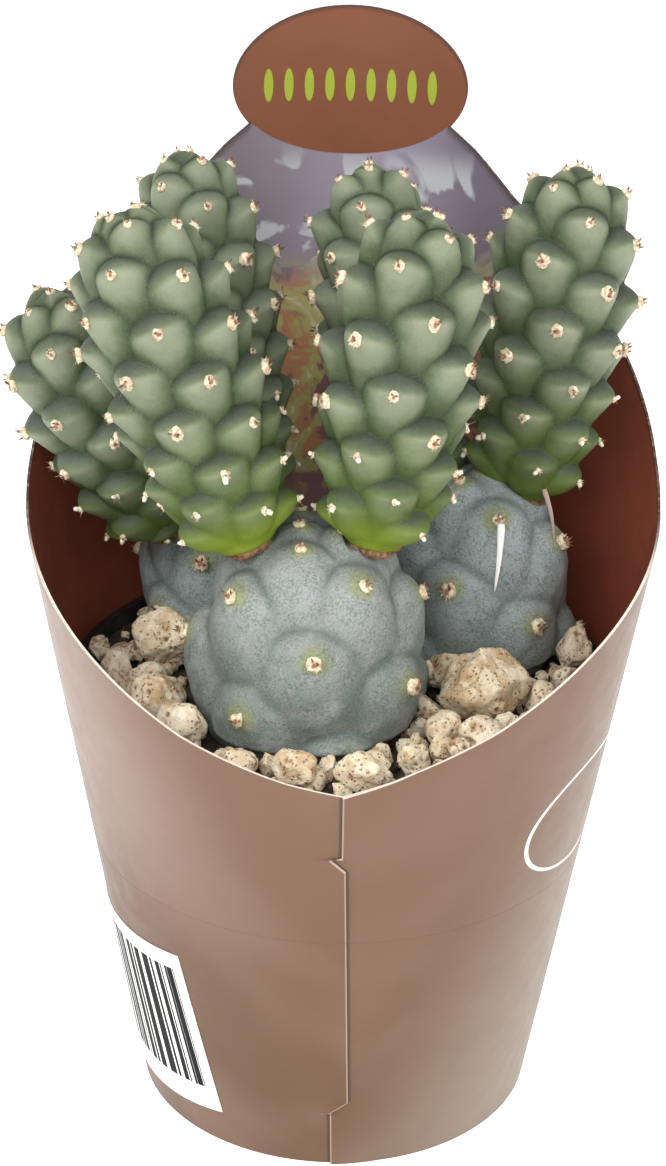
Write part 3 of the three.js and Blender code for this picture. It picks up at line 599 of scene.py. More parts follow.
def pumice_material():
    """Tan pumice: stained and dusty, with painted shade browning its fine holes and its pits."""
    s = Shader("Pumice", 0.95, Specular_IOR_Level=0.25)
    place = s.millimetres()
    shaded_pores = s.fade(s.cells(place, 0.5), 0.15, 0.33) * s.ramp(s.noise(place, 1.7, 2.0), 0.38, 0.52)
    colour = s.layers(
        s.mix(s.ramp(s.noise(place, 2.4, 5.0, 0.6), 0.35, 0.65), (0.64, 0.46, 0.27), (0.94, 0.83, 0.61)),
        (s.attribute("tone") * 0.4, (0.97, 0.91, 0.76)),
        (s.ramp(s.noise(place, 3.6, 4.0, 0.6), 0.54, 0.68) * 0.7, (0.5, 0.31, 0.15)),
        # Painted shade in the fine holes.
        (shaded_pores * 0.8, (0.26, 0.13, 0.055)),
        (s.ramp(s.noise(place, 0.22, 4.0, 0.7), 0.55, 0.75) * 0.3, (0.4, 0.26, 0.14)),
        # Painted shade in the pits.
        (s.ramp(s.attribute("pit"), 0.15, 0.7) * 0.8, (0.26, 0.13, 0.055)),
    )
    return s.finished(colour, s.noise(place, 0.35, 6.0, 0.72) - shaded_pores * 0.7, 0.32)


def skin_shader(name, roughness, subsurface):
    """The start of a skin material, and the attributes that both skins read."""
    s = Shader(name, roughness, Subsurface_Weight=subsurface, Subsurface_Scale=0.002, Specular_IOR_Level=0.25)
    names = ("areole_distance", "above_areole", "groove", "line", "bloom")
    return s, s.millimetres(), *(s.attribute(key) for key in names)


def grey_skin_material():
    """Old skin: glaucous blue-grey with fine dark specks, painted light higher up, painted shade in the
    creases, and yellow-green round areoles.
    """
    s, place, near, up, groove, line, bloom = skin_shader("Grey Skin", 0.62, 0.05)
    tint = s.noise(place, 1.9, 3.0, 0.55)
    halo = s.fade(near + (s.noise(place, 1.0, 2.0) - 0.5) * 1.3 - up * 0.25, 0.9, 2.0)
    warm = s.ramp(up, 0.3, 1.4) * s.fade(near, 1.2, 3.2)
    clouds = s.ramp(s.noise(place, 1.6, 4.0), 0.35, 0.62)
    mottle = s.ramp(s.noise(place, 0.28, 4.0, 0.65), 0.4, 0.66)
    specks = s.fade(s.cells(place, 0.27), 0.2, 0.42)
    colour = s.layers(
        s.mix(s.ramp(s.noise(place, 5.0, 3.0), 0.35, 0.68), (0.155, 0.185, 0.16), (0.245, 0.268, 0.25)),
        (s.ramp(tint, 0.52, 0.7) * 0.6, (0.3, 0.285, 0.33)),
        (s.fade(tint, 0.32, 0.47) * 0.6, (0.11, 0.165, 0.145)),
        # Painted light: paler higher up on the joint.
        (s.ramp(s.parts(place)[2], 56.0, 74.0, 0.0, 0.6), (0.315, 0.325, 0.315)),
        # Painted light on the right and left grey joints.
        (bloom, (0.38, 0.45, 0.46)),
        # Painted shade in the creases, with a painted shadow line in their middle.
        (groove * 0.6, (0.085, 0.11, 0.1)),
        (line * 0.25, (0.04, 0.052, 0.046)),
        (halo * 0.7, (0.24, 0.26, 0.075)),
        (warm * 0.25, (0.2, 0.17, 0.17)),
        (mottle * (0.35 + 0.35 * clouds), (0.085, 0.108, 0.097)),
        (specks * clouds * 0.35, (0.045, 0.062, 0.055)),
        (s.fade(s.cells(place, 0.36), 0.1, 0.26) * 0.2, (0.5, 0.53, 0.5)),
    )
    s.set("Roughness", s.ramp(s.noise(place, 0.8, 3.0), 0.2, 0.8, 0.55, 0.75))
    return s.finished(colour, s.noise(place, 0.3, 4.0, 0.6) - specks * 0.4, 0.07)


def green_skin_material():
    """Young skin: glaucous grey-green mounds with a painted highlight, painted shade deep green in the
    hollows and creases, and yellow-green at the base.
    """
    s, place, _, up, groove, line, bloom = skin_shader("Green Skin", 0.5, 0.08)
    lift, climb = s.attribute("lift"), s.attribute("climb")
    patch = s.noise(place, 4.0, 3.0)
    low = s.mix(s.ramp(patch, 0.35, 0.7), (0.062, 0.104, 0.017), (0.09, 0.14, 0.026))
    high = s.mix(s.ramp(patch, 0.35, 0.7), (0.08, 0.106, 0.053), (0.126, 0.156, 0.09))
    # Painted shade in the hollows between tubercles; the mounds are glaucous and also paler as a painted
    # highlight.
    hollow = s.fade(lift, 0.9, 2.3) * s.ramp(climb, 0.15, 0.4)
    mound = s.ramp(lift + (patch - 0.5) * 0.8, 1.5, 3.1) * s.ramp(climb, 0.1, 0.6, 0.25, 1.0)
    base = s.fade(climb + (patch - 0.5) * 0.08, 0.1, 0.24)
    grown = s.ramp(climb, 0.12, 0.42, 0.2, 1.0)
    colour = s.layers(
        s.mix(s.ramp(climb, 0.15, 0.65), low, high),
        (hollow * 0.62, (0.03, 0.055, 0.016)),
        (mound * s.fade(up, 0.0, 0.8) * 0.72, (0.25, 0.27, 0.185)),
        (base * s.attribute("young_base"), (0.175, 0.235, 0.012)),
        (s.ramp(up, 0.3, 1.7) * 0.72, (0.056, 0.06, 0.058)),
        # Painted light on the back green joints.
        (bloom, (0.2, 0.23, 0.16)),
        # Painted shade in the creases, with a painted shadow line in their middle.
        (groove * grown * 0.6, (0.03, 0.048, 0.02)),
        (line * grown * 0.85, (0.012, 0.022, 0.008)),
        (s.ramp(s.noise(place, 0.16, 3.0, 0.6), 0.55, 0.72) * 0.22, (0.05, 0.085, 0.035)),
        (s.fade(s.cells(place, 0.3), 0.1, 0.24) * 0.16, (0.42, 0.48, 0.36)),
    )
    s.set("Roughness", s.ramp(s.noise(place, 0.8, 3.0), 0.2, 0.8, 0.42, 0.62))
    return s.finished(colour, s.noise(place, 0.25, 4.0, 0.6), 0.05)


def cork_material():
    """Cork where one joint sits on another: reddish brown, flaky, with tan edges."""
    s = Shader("Cork", 0.85)
    place = s.millimetres()
    flakes = s.mix(s.ramp(s.noise(place, 0.7, 4.0), 0.35, 0.65), (0.12, 0.045, 0.02), (0.32, 0.18, 0.095))
    colour = s.mix(s.ramp(s.noise(place, 0.2, 3.0), 0.55, 0.7), flakes, (0.1, 0.045, 0.028))
    return s.finished(colour, s.noise(place, 0.3, 5.0, 0.7), 0.2)


def tuft_material():
    """Areole wool, cream to pinkish, and bristles that turn red-brown towards their tips.

    The kind is 0 for the mound, 0.2 for wool, 1 for bristles, 1.2 for hairs and 2 for teeth.
    """
    s = Shader("Areole Wool", 0.8)
    kind, along = s.attribute("kind"), s.attribute("along")
    place = s.millimetres()
    wool = s.mix(s.ramp(s.noise(place, 0.4, 3.0), 0.35, 0.65), (0.5, 0.36, 0.22), (0.78, 0.7, 0.52))
    eye = s.fade(along + (s.noise(place, 0.3, 2.0) - 0.5) * 0.5, 0.2, 0.55) * s.fade(kind, 0.0, 0.1)
    bristle = s.mix(s.ramp(along, 0.25, 0.8), (0.5, 0.33, 0.18), (0.115, 0.035, 0.02))
    hair = s.mix(s.ramp(along, 0.1, 0.9), (0.55, 0.35, 0.13), (0.72, 0.55, 0.28))
    tooth = s.mix(s.ramp(along, 0.0, 0.3), (0.45, 0.32, 0.18), (0.74, 0.68, 0.53))
    colour = s.layers(
        wool,
        (eye * 0.9, (0.23, 0.075, 0.045)),
        (s.ramp(kind, 0.4, 0.6), bristle),
        (s.ramp(kind, 1.05, 1.15), hair),
        (s.ramp(kind, 1.4, 1.6), tooth),
    )
    s.set("Roughness", s.ramp(kind, 0.0, 2.0, 0.85, 0.6))
    return s.finished(colour, s.noise(place, 0.2, 3.0), 0.06)


def spine_material():
    """A papery spine with a dark midrib, white or, where its tan is 1, pinkish brown."""
    s = Shader("Papery Spine", 0.6)
    along, across, tan, place = s.place("spine_place")
    rib = s.fade(abs(across), 0.03, 0.16) * s.ramp(along, 0.3, 0.6)
    colour = s.layers(
        s.mix(s.ramp(s.noise(place, 0.5, 4.0), 0.3, 0.7), (0.72, 0.7, 0.66), (0.92, 0.91, 0.89)),
        (tan * 0.85, (0.36, 0.2, 0.15)),
        (rib * 0.5, (0.25, 0.2, 0.17)),
    )
    return s.finished(colour, s.noise(place, 0.3, 4.0), 0.05)


def floor_material():
    """Matt white paper that glows a little, so that it stays white to its edge."""
    s = Shader("White Paper", 0.9)
    place = s.millimetres()
    colour = s.mix(s.noise(place, 60.0, 2.0), (0.9, 0.9, 0.9), (0.92, 0.92, 0.92))
    s.set("Emission Color", (1.0, 1.0, 1.0, 1.0))
    s.set("Emission Strength", 0.55)
    return s.finished(colour, s.noise(place, 1.0, 3.0), 0.02)


# Joints of the plant


class Joint:
    """One joint: a smooth body of revolution under a golden-angle spiral of tubercles.

    The relief over the smooth body is the highest of the tubercles, blended a little where they meet. A
    tubercle is a mound that ends in a steep arch to the tip and runs out slowly, and more widely, to the
    base, with a small point under its areole. The relief fades out at the base and in the soil.
    """

    def __init__(self, kind, tubercle, name, base, tip, radius, rise, first, turn, hand):
        self.name = name
        self.tubercle = tubercle
        self.radius = radius
        self.base = np.array(base, float)
        axis = np.array(tip, float) - self.base
        self.length = np.linalg.norm(axis)
        self.axis = axis / self.length
        front = np.array([0.0, -1.0, 0.0])
        self.ahead = unit(front - front @ self.axis * self.axis)
        self.aside = np.cross(self.axis, self.ahead)
        shares = spline(kind, 240)
        self.along = shares[:, 0] * self.length
        self.out = np.maximum(shares[:, 1], 0) * radius
        steps = np.hypot(np.diff(self.along), np.diff(self.out))
        self.arcs = np.concatenate([[0], np.cumsum(steps)])
        self.arc_length = self.arcs[-1]
        arc, bearing = first, math.radians(turn)
        places = []
        while arc < self.arc_length - BARE_TIP * radius:
            places.append((arc, bearing + hand * len(places) * GOLDEN_ANGLE))
            crowding = np.interp(arc, self.arcs, self.out) / radius
            arc += rise * (CROWDED_RISE + (1 - CROWDED_RISE) * crowding)
        self.areole_arc, self.areole_bearing = np.array(places).T
        found = self.surface(self.areole_arc, self.areole_bearing)
        self.areole, self.areole_normal, self.areole_uphill = found
        crowding = np.interp(self.areole_arc, self.arcs, self.out) / radius
        self.scale = CROWDED_SIZE + (1 - CROWDED_SIZE) * crowding

    def surface(self, arc, bearing):
        """Points, normals and uphill directions of the smooth body."""
        along = np.interp(arc, self.arcs, self.along)[..., None]
        out = np.interp(arc, self.arcs, self.out)[..., None]
        before, after = np.maximum(arc - 0.3, 0), np.minimum(arc + 0.3, self.arc_length)
        climb, spread = (
            (np.interp(after, self.arcs, row) - np.interp(before, self.arcs, row))[..., None]
            for row in (self.along, self.out)
        )
        radial = self.ahead * np.cos(bearing)[..., None] + self.aside * np.sin(bearing)[..., None]
        point = self.base + self.axis * along + radial * out
        return point, unit(radial * climb - self.axis * spread), unit(self.axis * climb + radial * spread)

    def relief(self, point, arc):
        """Height of the tubercles over the smooth body, how each point lies to its areole, and the painted
        shade of its crease.
        """
        height, side, up, down, widening, fullness, point_height = self.tubercle
        offset = point[..., None, :] - self.areole
        along = (offset * self.areole_uphill).sum(-1) / self.scale
        distance = np.linalg.norm(offset, axis=-1)
        across = np.maximum((distance / self.scale) ** 2 - along**2, 0)
        fall = np.maximum(along / up, 0) ** STEEP_FALL + np.maximum(-along / down, 0) ** fullness
        reach = side * (1 + widening * np.clip(-along / down, 0, 1.5))
        heights = height * self.scale * (1 - across / reach**2 - fall)
        order = np.argsort(heights, axis=-1)
        owner, second = order[..., -1:], order[..., -2:-1]
        top = np.take_along_axis(heights, owner, -1)
        near = np.take_along_axis(heights, second, -1)
        sharpness = CREASE_SHARPNESS / side**2
        crowd = np.exp((heights - top) * sharpness).sum(-1) + np.exp(-top[..., 0] * sharpness)
        nearest = distance.min(-1)
        point_share = np.exp(-((nearest / POINT_WIDTH) ** 2))
        best = np.log(crowd) / sharpness + top[..., 0] + point_height * point_share
        arch = np.maximum(*(np.take_along_axis(along, place, -1) for place in (owner, second)))[..., 0]
        over = smoothstep(arch, 0.1 * up, 0.6 * up)
        apart = (top - near)[..., 0]
        # Painted shade over the crease between two tubercles, and a narrower painted shadow line in its
        # middle, both deepest above an arch.
        groove = np.exp(-((apart / CREASE_WIDTH) ** 2)) * (0.3 + 0.7 * over)
        line = np.exp(-((apart / LINE_WIDTH) ** 2)) * (0.45 + 0.55 * over)
        fade = smoothstep(point[..., 2], PLAIN_HEIGHT, PLAIN_HEIGHT + SOIL_MARGIN)
        fade = fade * smoothstep(arc, SMOOTH_BASE, 3 * SMOOTH_BASE)
        values = {
            "lift": best * fade,
            "groove": groove * fade,
            "line": line * fade,
            "areole_distance": nearest / self.scale[distance.argmin(-1)],
            "above_areole": np.take_along_axis(along * self.scale, owner, -1)[..., 0],
            "depth": (height * self.scale[owner[..., 0]] + point_height - best) * fade,
            "climb": arc / self.arc_length,
        }
        return best * fade, values

    def skin(self, grid, wrinkle, seats=(), **shades):
        """The relief over a grid of arcs and bearings, with fine wrinkles and a flat seat under each guest.

        Each of the shades becomes an attribute that has the given value all over.
        """
        rows, columns = grid
        share = np.linspace(0, 1, rows)
        arc = (self.arc_length * (share - EVEN_ROWS * np.sin(TAU * share)))[:, None] + np.zeros(columns)
        bearing = np.arange(columns) / columns * TAU + np.zeros((rows, 1))
        point, normal, uphill = self.surface(arc, bearing)
        height, values = self.relief(point, arc)
        ends = np.sin(math.pi * share)[:, None] ** 0.5
        height = height + wrinkle * ends * (waves(point, 2.6, 5) + 0.4 * waves(point, 0.9, 6))
        slip = LEAN * values.pop("depth") * ends**2
        point = point + normal * height[..., None] - uphill * slip[..., None]
        for guest in seats:
            offset = point - guest.base
            rise = offset @ guest.axis
            away = np.linalg.norm(offset - rise[..., None] * guest.axis, axis=-1)
            seat = (1 - smoothstep(away, *SEAT_RADII)) * (rise < SEAT_HEIGHT)
            sink = np.maximum(rise + SEAT_SINK, 0) * seat
            point = point - guest.axis * sink[..., None]
        point[0], point[-1] = point[0].mean(0), point[-1].mean(0)
        values.update({key: np.full(arc.shape, value) for key, value in shades.items()})
        values = {key: value.ravel() for key, value in values.items()}
        return welded(point.reshape(-1, 3), [grid_faces(rows, columns, around=True)], values)

    def rim_points(self, arc, bearing):
        """Points of the finished surface."""
        point, normal, _ = self.surface(arc, bearing)
        return point + normal * self.relief(point, arc)[0][..., None]

    def covers(self, point):
        """True where a point lies inside the finished joint, judged along the smooth body's radius."""
        offset = point - self.base
        along = offset @ self.axis
        radial = offset - along[..., None] * self.axis
        arc = np.interp(along, self.along[12:-1], self.arcs[12:-1])
        bearing = np.arctan2(radial @ self.aside, radial @ self.ahead)
        edge = self.rim_points(arc, bearing) - self.base
        reach = np.linalg.norm(edge - (edge @ self.axis)[..., None] * self.axis, axis=-1)
        inside = np.linalg.norm(radial, axis=-1) < reach
        return inside & (along > 0) & (along < self.length)


def joints_of(settings, outline, rows):
    """The joints of the rows, with tubercles of these settings."""
    reaches = [value / MM for value in (settings.height, settings.side, settings.up, settings.down)]
    shape = [*reaches, settings.widening, settings.fullness, settings.point / MM]
    return [Joint(outline, shape, *row) for row in rows]


def grey_joints(settings):
    return joints_of(settings, GLOBE_OUTLINE, GREY_JOINTS)


def green_joints(settings):
    return joints_of(settings, CLUB_OUTLINE, GREEN_JOINTS)


def tuft_body(joint, settings, size, seed, spineless, tooth_share):
    """Wool and bristles on every areole of a joint that stands clear of the soil.

    Each tuft is a low mound, short strands of wool round it, a few fine hairs, and stout dark-tipped
    bristles. Low on a green joint one pale tooth stands in for the bristles.
    """
    random = np.random.default_rng(seed)
    height = joint.relief(joint.areole, joint.areole_arc)[0]
    clear = joint.areole[:, 2] + height > spineless
    origin = (joint.areole + joint.areole_normal * height[:, None])[clear]
    normal, uphill = joint.areole_normal[clear], joint.areole_uphill[clear]
    side = np.cross(uphill, normal)
    scale = joint.scale[clear] * random.uniform(0.8, 1.15, len(origin)) * size
    count = len(origin)

    axes = np.stack([side, uphill, normal], 1)

    def placed(local, tufts):
        """Local places (side, uphill, normal) of these tufts, in tuft sizes, as points."""
        return origin[tufts, None] + local * scale[tufts, None, None] @ axes[tufts]

    everywhere = np.ones(count, bool)
    parts = []
    rings, turns = 6, 10
    tilt = np.linspace(math.pi, 0, rings)[:, None]
    turn = np.arange(turns) / turns * TAU
    ball = np.sin(tilt) * np.cos(turn), np.sin(tilt) * np.sin(turn), np.cos(tilt)
    ball = np.stack(np.broadcast_arrays(*ball), -1).reshape(-1, 3)
    climb = (joint.areole_arc / joint.arc_length)[clear]
    low = climb < tooth_share
    rough = random.uniform(0.78, 1.22, (count, rings * turns, 1)) * np.where(low, 0.62, 1)[:, None, None]
    rough[:, :turns], rough[:, -turns:] = 1, 1
    faces = grid_faces(rings, turns, around=True)[None] + (np.arange(count) * rings * turns)[:, None, None]
    points = placed(ball * (0.74, 0.86, 0.5) * rough, everywhere).reshape(-1, 3)
    rim = np.tile(np.hypot(ball[:, 0], ball[:, 1]), count)
    kinds = np.zeros(count * rings * turns)
    parts.append(welded(points, [faces.reshape(-1, 4)], {"kind": kinds, "along": rim}))

    def rods(number, only, kind, thick, reach, root, spread, lean, bend, sides=3, taper=(1, 0.72, 0.1)):
        """Rods from near the middle of some tufts, spreading and leaning along the joint, bent outwards."""
        chosen = np.flatnonzero(only)
        if not len(chosen):
            return
        shape = (len(chosen), number)
        angle = random.uniform(0, TAU, shape)
        away = np.sqrt(random.uniform(0.1, 1, shape))
        flat = np.stack([np.cos(angle), np.sin(angle), np.zeros(shape)], -1) * away[..., None]
        start = flat * root + np.array([0, 0, 0.1])
        out = unit(flat * spread + np.array([0, lean, 1.0]) + random.normal(size=(*shape, 3)) * 0.1)
        size_of = reach * random.uniform(0.7, 1.1, (*shape, 1, 1))
        t = np.linspace(0, 1, 3)[:, None]
        path = start[:, :, None] + out[:, :, None] * t * size_of + flat[:, :, None] * t**2 * bend
        path = placed(path.reshape(len(chosen), -1, 3), chosen).reshape(-1, 3, 3)
        radii = np.repeat(scale[chosen], number)[:, None] * thick * np.array(taper)
        points, faces = tubes(path, radii, sides, seed + int(kind * 10) + number)
        along = np.tile(np.repeat([0.0, 0.55, 1.0], sides), shape[0] * number)
        parts.append((points, faces, {"kind": np.full(len(points), kind), "along": along}))

    strand = settings.wool_length / MM
    rods(settings.wool, ~low, 0.2, 0.12, strand * 0.6, 0.55, 1.0, 0.0, 0.1)
    rods(settings.wool // 2, low, 0.2, 0.1, strand * 0.5, 0.35, 1.0, -0.2, 0.1)
    rods(settings.bristles, ~low, 1.0, 0.19, strand * 1.45, 0.28, 0.4, 0.6, 0.05, 4)
    rods(2, everywhere, 1.2, 0.028, strand * 1.3, 0.4, 1.0, 0.1, 0.2)
    rods(1, low, 2.0, 0.36, strand * 1.15, 0.15, 1.5, -0.3, 0.0, 5, (0.75, 1, 0.7))
    return joined(parts)


# Settings


def length(text, millimetres):
    """A length in the scene's units whose default is given in millimetres."""
    return FloatProperty(name=text, default=millimetres * MM, unit="LENGTH", subtype="DISTANCE")


def amount(text, value):
    """A plain number, which is whole where its default is."""
    return (IntProperty if isinstance(value, int) else FloatProperty)(name=text, default=value)


class SleeveSettings(bpy.types.PropertyGroup):
    """Card sleeve"""

    foot_radius: length("Outer radius of the card at the foot", 24.3)
    flare: amount("Radius gained for each unit of height", 0.167)
    thickness: length("Thickness of the card", 0.32)
    header_width: length("Half the width of the header's oval", 14.7)
    header_height: length("Half the height of the header's oval", 9.4)
    header_centre: length("Height of the middle of the oval", 114.8)
    lap: length("How far the upper panel of the seam stands proud", 0.4)


class LabelSettings(bpy.types.PropertyGroup):
    """Sticker"""

    width: length("Width of the sticker", 26.5)
    height: length("Height of the sticker", 23.3)
    thickness: length("Thickness of the paper", 0.08)


class PotSettings(bpy.types.PropertyGroup):
    """Nursery pot"""

    foot_radius: length("Outer radius at the foot", 22.8)
    height: length("Height of the pot", 54.3)
    lip: length("Height of the lip", 4.3)
    overhang: length("How far the lip stands out", 0.6)
    wall: length("Thickness of the wall", 1.0)
    drain: length("Radius of the drain holes", 2.5)


class SoilSettings(bpy.types.PropertyGroup):
    """Soil and crumbs"""

    top: length("Height of the soil", 53.0)
    roughness: length("Height of the crumbs in the surface", 0.45)
    crumbs: amount("Number of bark crumbs", 620)
    grit: amount("Number of grains of pumice", 560)


class StoneSettings(bpy.types.PropertyGroup):
    """Pumice stones"""

    lumps: length("Depth of the lumps", 0.24)
    facets: amount("Number of broken faces on a stone", 6)
    pits: amount("Number of pits in a stone", 90)
    pit_depth: length("Depth of the deepest pits", 0.55)


class GreySettings(bpy.types.PropertyGroup):
    """Grey joints"""

    height: length("Height of a tubercle", 2.8)
    side: length("Reach of a tubercle to each side", 5.7)
    up: length("Reach of a tubercle to the tip", 4.3)
    down: length("Reach of a tubercle to the base", 10.4)
    widening: amount("Growth of the side reach down to the base", 0.8)
    fullness: amount("Power of the fall towards the base", 1.9)
    point: length("Height of the point under an areole", 0.3)
    wrinkle: length("Height of the fine wrinkles", 0.07)


class GreenSettings(bpy.types.PropertyGroup):
    """Green joints"""

    height: length("Height of a tubercle", 3.1)
    side: length("Reach of a tubercle to each side", 3.8)
    up: length("Reach of a tubercle to the tip", 2.9)
    down: length("Reach of a tubercle to the base", 7.2)
    widening: amount("Growth of the side reach down to the base", 0.2)
    fullness: amount("Power of the fall towards the base", 1.3)
    point: length("Height of the point under an areole", 0.45)
    wrinkle: length("Height of the fine wrinkles", 0.04)


class TuftSettings(bpy.types.PropertyGroup):
    """Areole tufts"""

    wool: amount("Strands of wool in a tuft", 16)
    wool_length: length("Length of the longest strands of wool", 0.8)
    bristles: amount("Stout bristles in a tuft", 3)


class StudioSettings(bpy.types.PropertyGroup):
    """Floor, lights and camera"""

    sky: amount("Strength of the light from all round", 0.62)
    key: amount("Power of the main light in watts", 5.0)
    side: amount("Power of the light from the left in watts", 7.5)
    fill: amount("Power of the light from the right in watts", 5.0)


GROUPS = {
    "cactus_sleeve": SleeveSettings,
    "cactus_label": LabelSettings,
    "cactus_pot": PotSettings,
    "cactus_soil": SoilSettings,
    "cactus_stones": StoneSettings,
    "cactus_grey": GreySettings,
    "cactus_green": GreenSettings,
    "cactus_tufts": TuftSettings,
    "cactus_studio": StudioSettings,
}


# Sleeve


def edge_height(bearing):
    """Height of the sleeve's edge from the neck round to the front, by bearing in degrees from the back."""
    from_back = np.abs(bearing)
    front_share = np.maximum(0, np.sin(np.radians(2 * (from_back - 90))))
    return table(EDGE_HEIGHTS, from_back) + np.sign(bearing) * RIGHT_EDGE_LIFT * front_share


def sleeve_bearings():
    """Columns of the wall in degrees from the back, close together at the header and at the seam."""
    runs = [(0, NECK_ANGLE, 26), (NECK_ANGLE, 60, 28), (60, 180 - LAP_ANGLE, 58), (180 - LAP_ANGLE, 179, 20)]
    half = [np.linspace(a, b, n, endpoint=False) for a, b, n in runs]
    half = np.concatenate([*half, [179, 179.5, 180]])
    return np.concatenate([-half[:0:-1], half])


def card_body(s):
    """A cone of card, cut along the seam and closed by its rim.

    The wall is a grid of bearings and heights up to the edge. The header over its neck is a second grid
    between a level line and the oval. Both are laid out flat first, then put on the outer and the inner
    cone, and every free edge is closed by a strip of card edge.
    """
    foot, thick, lap = s.foot_radius / MM, s.thickness / MM, s.lap / MM
    half_width, half_height, centre = s.header_width / MM, s.header_height / MM, s.header_centre / MM
    bearings = sleeve_bearings()
    neck_height = EDGE_HEIGHTS[0][1]
    in_neck = np.abs(bearings) <= NECK_ANGLE + 1e-6
    top = np.where(in_neck, neck_height, edge_height(bearings))
    low = np.array(SEAM_ROWS, float)[:, None] + np.zeros(len(bearings))
    share = np.linspace(0, 1, EDGE_ROWS + 1)[1:, None]
    high = SEAM_ROWS[-1] + (top - SEAM_ROWS[-1]) * share
    z = np.concatenate([low, high])
    from_seam = 180 - np.abs(bearings)
    pull = np.maximum(0, 1 - from_seam / LAP_ANGLE)
    radius = foot + s.flare * z
    seam = np.degrees(table(SEAM_PATH, z) / radius)
    shifted = bearings - seam * pull
    upper = np.where((z > TONGUE[0]) & (z < TONGUE[1]), -1, 1)
    right_up = smoothstep(z, 43, 51) + 1 - smoothstep(z, 5, 12)
    gentle = np.where(bearings > 0, right_up, 1 - right_up)
    at_seam = 1 - smoothstep(from_seam, 0.8, 3.5)
    proud = lap * pull * (at_seam * (np.sign(bearings) == upper) + (1 - at_seam) * gentle)
    turned = np.where(bearings < 0, -180, 180) - seam - shifted
    from_edge = np.clip(np.radians(turned) * radius, -FAR_FROM_SEAM, FAR_FROM_SEAM)
    wall = np.stack([shifted, z, proud, np.broadcast_to(np.abs(bearings), z.shape), from_edge], -1)

    neck_columns = bearings[in_neck]
    steps = np.linspace(0, 1, HEADER_ROWS)[:, None]
    neck_x = np.sin(np.radians(neck_columns)) * (foot + s.flare * neck_height)
    start = math.asin((neck_height - centre) / half_height)
    angle = start + (1 - neck_columns / NECK_ANGLE) / 2 * (math.pi - 2 * start)
    header_x = neck_x + (half_width * np.cos(angle) - neck_x) * steps
    header_z = neck_height + (centre + half_height * np.sin(angle) - neck_height) * steps
    header_bearing = np.degrees(np.arcsin(header_x / (foot + s.flare * header_z)))
    nothing = np.zeros_like(header_z)
    far = nothing + FAR_FROM_SEAM
    header = np.stack([header_bearing, header_z, nothing, np.abs(header_bearing), far], -1)

    flat = np.concatenate([wall.reshape(-1, 5), header.reshape(-1, 5)])
    faces = [grid_faces(*wall.shape[:2], flip=True)]
    faces.append(grid_faces(*header.shape[:2], flip=True, first=wall[..., 0].size))
    keys = flat[:, :3] * (1, 1, 0)
    keys[:, 2] = (flat[:, 0] > 90) * 1.0
    _, faces, kept = welded(keys, faces, {"flat": flat})
    flat = kept["flat"]

    angle = np.radians(flat[:, 0])
    cone = foot + s.flare * flat[:, 1]
    sides = []
    for out in (cone + flat[:, 2], cone - thick):
        sides.append(np.stack([out * np.sin(angle), out * np.cos(angle), flat[:, 1]], -1))
    place = np.stack([angle * cone, flat[:, 1], np.zeros(len(flat))], -1)
    values = {"card_place": place, "from_back": flat[:, 3], "from_seam": flat[:, 4]}
    body, rim, part = thick_sheet(*sides, faces, values)
    # Painted shade: the rim's points towards the back darken the inside there.
    dark = np.zeros(len(flat))
    dark[rim.ravel()] = flat[rim.ravel(), 3] < SHADED_RIM
    body[2]["rim"] = np.tile(dark, 2)
    return body, part


class MESH_OT_cactus_sleeve(bpy.types.Operator):
    """Add the card sleeve with its header and lapped seam"""

    bl_idname = "mesh.cactus_sleeve"
    bl_label = "Card Sleeve"

    def execute(self, context):
        body, part = card_body(context.scene.cactus_sleeve)
        add_piece("card_sleeve", body, card_material(), ["sleeve"], {"part": part}, 40)
        return {"FINISHED"}


class MESH_OT_cactus_label(bpy.types.Operator):
    """Add the paper sticker on the sleeve's left side"""

    bl_idname = "mesh.cactus_label"
    bl_label = "Sticker"

    def execute(self, context):
        """A thin sheet laid out on the flattened cone and wrapped round it."""
        sleeve, s = context.scene.cactus_sleeve, context.scene.cactus_label
        width, height, thick = s.width / MM, s.height / MM, s.thickness / MM
        foot, flare = sleeve.foot_radius / MM, sleeve.flare
        x, y = np.meshgrid(*(np.linspace(0, size, n) for size, n in zip((width, height), STICKER_GRID)))
        slope = flare / math.hypot(1, flare)
        across, rise = unit(np.array(STICKER_ACROSS)), unit(np.array(STICKER_RISE))
        flat = np.array(STICKER_CORNER) + x[..., None] * across + y[..., None] * rise
        bearing = np.arctan2(flat[..., 0], flat[..., 1]) / slope
        cone = np.linalg.norm(flat, axis=-1) * slope
        z = (cone - foot) / flare
        sides = []
        for out in (cone + STICKER_GAP + thick, cone + STICKER_GAP):
            sides.append(np.stack([out * np.sin(bearing), -out * np.cos(bearing), z], -1).reshape(-1, 3))
        place = np.stack([x, y, np.zeros_like(x)], -1).reshape(-1, 3)
        body, _, _ = thick_sheet(*sides, [grid_faces(*x.shape, flip=True)], {"label_place": place})
        add_piece("sticker", body, label_material(), sharp=40)
        return {"FINISHED"}


# Pot and soil


def pot_outside(sleeve, pot, z):
    """Radius of the pot's outside under the lip, which runs close to the card at the lip."""
    under = (pot.height - pot.lip) / MM
    foot = pot.foot_radius / MM
    top = (sleeve.foot_radius + sleeve.flare * (pot.height - pot.lip) - pot.overhang) / MM - POT_AIR
    return np.interp(z, [0, under, under + 10], [foot, top, top + (top - foot) / 5])


